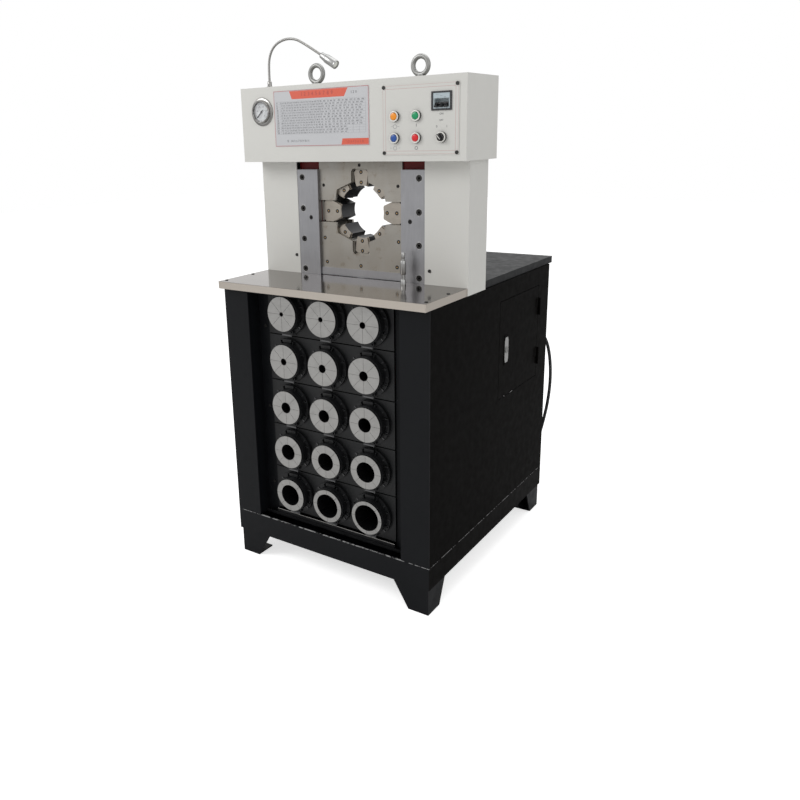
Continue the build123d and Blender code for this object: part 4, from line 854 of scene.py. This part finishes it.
def lamp_pieces():
    """Flexible neck with its base and ball, the head's shell and its lens."""
    neck_route = [(LAMP_X, LAMP_Y, HEAD_TOP + 16), (LAMP_X - 1, LAMP_Y, 1600.0),
                  (-300.0, LAMP_Y, 1634.0), (-280.0, LAMP_Y, 1660.0),
                  (-243.0, LAMP_Y, 1674.0), (-203.0, LAMP_Y, 1673.0), (-168.0, LAMP_Y, 1658.0),
                  (-106.0, LAMP_Y, 1621.0)]
    neck_curve = nurbs("neck_line", neck_route, 0.0)
    neck_line = line_of(neck_curve)
    neck_length = sum((b - a).length for a, b in zip(neck_line, neck_line[1:]))
    bm = bmesh.new()
    ribbed_tube_into(bm, neck_line, neck_length, 3.95, 0.55, 3.0)
    lathe_into(bm, [(0, -12), (4.9, -12), (4.9, 0), (10.8, 0), (10.8, 2.2), (10.0, 3.6), (7.2, 4.2),
                    (6.9, 9), (6.9, 16), (5.6, 19), (4.0, 20), (0, 20)],
               at(LAMP_X, LAMP_Y, HEAD_TOP), UP, 32)
    lamp_way = (at(*neck_route[-1]) - at(*neck_route[-2])).normalized()
    ball_at = at(*neck_route[-1]) + lamp_way * 5 * MM
    lathe_into(bm, [(0, -6), (3, -5.2), (5.2, -3), (6, 0), (5.2, 3), (3, 5.2), (0, 6)],
               ball_at, lamp_way, 24)
    neck = add_object("lamp_flex", finish_mesh(bm, "lamp_flex"), chrome, "lamp_neck")
    sharp(neck.data, 50)
    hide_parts("lamp_neck")
    head_at = at(*neck_route[-1]) + lamp_way * 3 * MM
    head_profile = [(6.4, 1.5), (8.2, 1.0), (9.0, 2.0), (9.4, 8.0), (10.6, 15.0), (11.6, 20.0),
                    (11.6, 21.2), (12.0, 21.8), (12.8, 24.0), (12.9, 56.0), (12.5, 57.0), (12.9, 58.0),
                    (12.9, 61.2), (12.3, 61.9), (11.2, 61.9), (10.9, 58.5), (9.5, 58.0), (0, 57.4)]
    lamp = turned("lamp_shell", head_profile, head_at, lamp_way, satin, "lamp_head")
    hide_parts("lamp_head")
    lens = plastic("lens", (0.75, 0.76, 0.72), rough=0.15)
    bm = bmesh.new()
    lathe_into(bm, [(0, 59.6), (6, 59.4), (10.0, 58.6), (10.4, 58.2)], head_at, lamp_way, 32)
    add_object("lamp_lens", finish_mesh(bm, "lamp_lens"), lens.material, "lamp_head")


lamp_pieces()


# ---- screws in the dies and the lower plate
brass = metal("brass", (0.42, 0.27, 0.12), rough=0.35, scale=200.0).material


def screw_group(name, places, depth, body, rim=6.2):
    """Dark counterbores with a lighter hexagon socket inside."""
    dark, light = bmesh.new(), bmesh.new()
    for x, z in places:
        lathe_into(dark, [(0, 0.3), (rim - 0.4, 0.3), (rim, 0.1), (rim, -0.5)], at(x, depth, z), OUT, 24)
        lathe_into(light, [(0, 0.45), (rim * 0.36, 0.45), (rim * 0.36, 0.2)], at(x, depth, z), OUT, 6)
    add_object(f"{name}_screws", finish_mesh(dark, f"{name}_screws"), black_plastic, body, smooth=False)
    add_object(f"{name}_sockets", finish_mesh(light, f"{name}_sockets"), brass, body, smooth=False)


def outward(angle, distances):
    """Places at these distances from the axis, on a die that has drawn back by OPEN."""
    c, s = cos(radians(angle)), sin(radians(angle))
    return [((u + OPEN) * c, (u + OPEN) * s + AXIS_Z) for u in distances]


DIAGONAL_SCREW = 64.9     # from the press axis to the screw with the press shut
GUIDE_HOLES_X = 212.8


def die_screws():
    """Screws in the eight master dies and the lower plate, and the rims of the guide plates' holes."""
    for name, angle in (("right", 0), ("left", 180)):
        screw_group(f"die_{name}", outward(angle, (66.0, 100.0)), DIE_FRONT, f"die_{name}")
    screw_group("die_top", outward(90, (63.0, 94.0)), DIE_FRONT, "root")
    screw_group("die_bottom", outward(270, (63.0, 94.0)), DIE_FRONT, "ram")
    for name, angle in (("upper_right", 45), ("upper_left", 135),
                        ("lower_left", 225), ("lower_right", 315)):
        screw_group(f"die_{name}", outward(angle, (DIAGONAL_SCREW,)), DIE_FRONT, f"die_{name}")
    bm = bmesh.new()
    for x in (-GUIDE_HOLES_X, GUIDE_HOLES_X):
        for z in (1265.0, 1168.0, 1071.0, 974.0):
            lathe_into(bm, [(9.8, 0.0), (9.9, 0.12), (10.9, 0.12), (11.0, 0.0)],
                       at(x, GUIDE_FRONT, z), OUT, 40)
    add_object("guide_chamfers", finish_mesh(bm, "guide_chamfers"), satin)
    lower_places = [(-137.0, 1077.0), (-131.0, 1000.0), (-1.0, 995.0), (131.0, 1000.0), (137.0, 1077.0)]
    screw_group("lower_plate", lower_places, RETAINER_FRONT, "ram")


die_screws()


# ---- small fittings
PANEL_EDGE, TRAY_LOW, TRAY_THICK, LIP = 0.2305, 0.1645, 1.5, 1.4
LOCK_DEPTH, LOCK_Z = 535.0, 706.0
TAIL_LOW, TAIL_HIGH = 1130.0, 1192.0
TRAY_DEPTH, TRAY_Z = 63.0, 181.0
FLANGE_DEPTH = 60.0
HOLDER_STEP_X, HOLDER_STEP_Z, HOLDER_LOW_Z = 149.0, 151.5, 262.0


def lock_plate():
    """Bright plate round the door's lock, with a round hole."""
    bm = bmesh.new()
    half_deep, half_tall, x0, x1 = 14.0, 42.0, 373.4, 374.1
    hole, steps = 9.6, 28
    inner, outer = [], []
    for step in range(steps):
        angle = 2 * pi * step / steps
        c, s = cos(angle), sin(angle)
        reach = min(half_deep / max(abs(c), 1e-6), half_tall / max(abs(s), 1e-6))
        inner.append((hole * c, hole * s))
        outer.append((reach * c, reach * s))
    layers = [[bm.verts.new(at(x, LOCK_DEPTH + u, LOCK_Z + v)) for u, v in ring]
              for x in (x0, x1) for ring in (inner, outer)]
    for k in range(steps):
        n = (k + 1) % steps
        bm.faces.new((layers[2][k], layers[2][n], layers[3][n], layers[3][k]))
        bm.faces.new((layers[1][k], layers[1][n], layers[3][n], layers[3][k]))
    return add_object("lock_plate", finish_mesh(bm, "lock_plate"), satin, "door", smooth=False)


def rack_studs_and_plug():
    """Bright satin caps over the right-hand flange screws beside the rack, as their painted glint, and the
    plug in the head's top.
    """
    bm = bmesh.new()
    # Bright caps on the right-hand flange screws only: painted glint; the left-hand screws stay black.
    for z in (812.0, 542.0, 272.0):
        lathe_into(bm, [(0, 3.4), (2.6, 3.2), (4.6, 2.3), (4.6, 0)], at(251.0, FLANGE_FRONT, z), OUT, 24)
    right_screw_glints = add_object("right_screw_glints", finish_mesh(bm, "right_screw_glints"), satin)
    sharp(right_screw_glints.data)
    turned("head_plug", [(6.5, -2), (6.5, 2.2), (5.5, 3.2), (0, 3.4)], at(-271.0, 230.0, HEAD_TOP),
           UP, screw_black, steps=24)


def die_tails():
    """Outer ends of the face plates on the left and right master dies."""
    bm_left, bm_right = bmesh.new(), bmesh.new()
    for bm, x0, x1 in ((bm_left, -151.5, -143.6), (bm_right, 143.6, 151.5)):
        prism_into(bm, bar(x0 * MM, x1 * MM, TAIL_LOW * MM, TAIL_HIGH * MM), at(0, DIE_FRONT, 0).y,
                   at(0, DIE_FRONT + 5.5, 0).y)
    add_object("die_left_tail", finish_mesh(bm_left, "die_left_tail"), block_steel, "die_left",
               smooth=False)
    add_object("die_right_tail", finish_mesh(bm_right, "die_right_tail"), block_steel, "die_right",
               smooth=False)


def holder_ribs():
    """Ribs round each die holder and the block below it."""
    rib_black = plastic("rib_black", (0.045, 0.045, 0.048), rough=0.2, specular=0.9).material
    bm = bmesh.new()
    for row in range(5):
        for column in range(3):
            x, z = (column - 1) * HOLDER_STEP_X, HOLDER_LOW_Z + HOLDER_STEP_Z * row
            for angle in (-40, -20, 0, 20, 40, 140, 160, 180, 200, 220):
                c, w = cos(radians(angle)), sin(radians(angle))
                ends = [(60.0, 1.1), (67.5, 1.1), (67.5, -1.1), (60.0, -1.1)]
                outline = [((x + r * c - t * w) * MM, (z + r * w + t * c) * MM) for r, t in ends]
                prism_into(bm, outline, at(0, FLANGE_DEPTH - 3.0, 0).y, at(0, FLANGE_DEPTH + 0.2, 0).y)
            for x0, x1, low, high in ((-15, 15, -72.5, -63.5), (-18.5, -15.8, -73.5, -62.5),
                                      (15.8, 18.5, -73.5, -62.5)):
                prism_into(bm, bar((x + x0) * MM, (x + x1) * MM, (z + low) * MM, (z + high) * MM),
                           at(0, FLANGE_DEPTH - 6.0, 0).y, at(0, FLANGE_DEPTH + 0.2, 0).y)
    add_object("holder_ribs", finish_mesh(bm, "holder_ribs"), rib_black, smooth=False)


def tray():
    """The rack's low shelf: a pale strip along its bare metal lip as a painted edge highlight, and the wall
    below it.
    """
    # Pale strip on the shelf's lip: painted highlight of its bare metal edge.
    painted_lip_highlight = plastic("tray_lip_highlight", (0.42, 0.41, 0.39), rough=0.3).material
    tray_lip_highlight = bmesh.new()
    prism_into(tray_lip_highlight, bar(-PANEL_EDGE, PANEL_EDGE, TRAY_Z * MM, (TRAY_Z + LIP) * MM),
               at(0, TRAY_DEPTH, 0).y - 0.0004, at(0, TRAY_DEPTH, 0).y)
    add_object("tray_lip_highlight", finish_mesh(tray_lip_highlight, "tray_lip_highlight"), painted_lip_highlight, smooth=False)
    tray_wall = bmesh.new()
    prism_into(tray_wall, bar(-PANEL_EDGE, PANEL_EDGE, TRAY_LOW, TRAY_Z * MM), at(0, TRAY_DEPTH, 0).y,
               at(0, TRAY_DEPTH + TRAY_THICK, 0).y)
    add_object("tray_wall", finish_mesh(tray_wall, "tray_wall"), dull_black, smooth=False)


rack_studs_and_plug()
lock_plate()
die_tails()
holder_ribs()
tray()


# ---- micrometer
MICRO_X, MICRO_Y = 178.0, 212.0


def micrometer():
    """Setting micrometer on the table: sleeve, thimble and scale lines."""
    micro_at = at(MICRO_X, MICRO_Y, TABLE_TOP)
    sleeve_profile = [(3.1, -18), (6, -18), (6, 0), (8, 0), (8, 15), (7.4, 16), (6, 16), (6, 41.6),
                      (3.1, 41.6)]
    sleeve = turned("micro_sleeve", sleeve_profile, micro_at, UP, satin, steps=32)
    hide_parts("micrometer_body")
    thimble_profile = [(0, -24), (2.9, -24), (2.9, 41), (6.2, 41), (6.3, 31), (6.9, 30), (8.7, 34),
                       (8.7, 58), (8.2, 58.6), (8.2, 60), (8.7, 60.6), (8.7, 71), (8.2, 72), (4.5, 72.4),
                       (4.5, 78), (5.2, 78.4), (5.6, 79.2), (5.6, 94.8), (5.0, 96), (0, 96)]
    thimble = turned("micro_thimble", thimble_profile, micro_at, UP, satin, "thimble", steps=40)
    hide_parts("micrometer_thimble")
    bm = bmesh.new()
    for line in range(11):
        z = micro_at.z + (18 + line * 1.1) * MM
        wide = 0.0028 if line % 5 == 0 else 0.0016
        y = micro_at.y - 6.02 * MM
        corners = bar(micro_at.x - wide, micro_at.x + wide, z, z + 0.00025)
        bm.faces.new([bm.verts.new((x, y, height)) for x, height in corners])
    add_object("micro_scale", finish_mesh(bm, "micro_scale"), ink, smooth=False)


micrometer()


# ---- stage
FLOOR_HALF = 14.0
FLOOR_GLOW = 0.62        # what the camera alone sees added to the floor, so that it is white
WORLD_LIGHT, WORLD_SEEN = 0.55, 1.0


def area_light(name, place, target, size, power):
    data = bpy.data.lights.new(name, "AREA")
    data.size = size
    data.energy = power
    light = bpy.data.objects.new(name, data)
    light.location = place
    light.rotation_euler = (Vector(target) - Vector(place)).to_track_quat("-Z", "Y").to_euler()
    bpy.context.collection.objects.link(light)


def pale_floor():
    """White floor that glows for the camera only."""
    floor_mesh = bpy.data.meshes.new("floor")
    floor_mesh.from_pydata([(x, z, 0) for x, z in bar(-FLOOR_HALF, FLOOR_HALF, -FLOOR_HALF, FLOOR_HALF)],
                           [], [(0, 1, 2, 3)])
    floor = bpy.data.objects.new("floor", floor_mesh)
    bpy.context.collection.objects.link(floor)
    floor_look = bpy.data.materials.new("floor")
    floor_look.use_nodes = True
    floor_shader = floor_look.node_tree.nodes["Principled BSDF"]
    floor_shader.inputs["Base Color"].default_value = (0.93, 0.93, 0.93, 1)
    floor_shader.inputs["Roughness"].default_value = 0.9
    floor_shader.inputs["Specular IOR Level"].default_value = 0.05
    floor_shader.inputs["Emission Color"].default_value = (1, 1, 1, 1)
    floor_glow = floor_look.node_tree.nodes.new("ShaderNodeLightPath")
    glow_level = floor_look.node_tree.nodes.new("ShaderNodeMath")
    glow_level.operation = "MULTIPLY"
    glow_level.inputs[1].default_value = FLOOR_GLOW
    floor_look.node_tree.links.new(floor_glow.outputs["Is Camera Ray"], glow_level.inputs[0])
    floor_look.node_tree.links.new(glow_level.outputs[0], floor_shader.inputs["Emission Strength"])
    floor_mesh.materials.append(floor_look)


def pale_world():
    """Soft light from all round, white where the camera, a reflection or glass sees it."""
    world = bpy.data.worlds.new("world")
    bpy.context.scene.world = world
    world.use_nodes = True
    tree = world.node_tree
    background = tree.nodes["Background"]
    path = tree.nodes.new("ShaderNodeLightPath")
    seen = tree.nodes.new("ShaderNodeMath")
    seen.operation = "MAXIMUM"
    also = tree.nodes.new("ShaderNodeMath")
    also.operation = "MAXIMUM"
    tree.links.new(path.outputs["Is Camera Ray"], seen.inputs[0])
    tree.links.new(path.outputs["Is Glossy Ray"], also.inputs[0])
    tree.links.new(path.outputs["Is Transmission Ray"], also.inputs[1])
    tree.links.new(also.outputs[0], seen.inputs[1])
    level_mix = tree.nodes.new("ShaderNodeMapRange")
    tree.links.new(seen.outputs[0], level_mix.inputs[0])
    level_mix.inputs[3].default_value = WORLD_LIGHT
    level_mix.inputs[4].default_value = WORLD_SEEN
    tree.links.new(level_mix.outputs[0], background.inputs["Strength"])
    background.inputs["Color"].default_value = (1, 1, 1, 1)


pale_floor()
area_light("key", (-2.6, -3.2, 3.4), (0, 0, 0.9), 2.2, 84)
area_light("fill", (3.2, -2.2, 2.2), (0, 0, 0.8), 2.4, 20)
area_light("above", (0.3, 0.6, 4.2), (0, 0, 0.9), 2.6, 40)
pale_world()
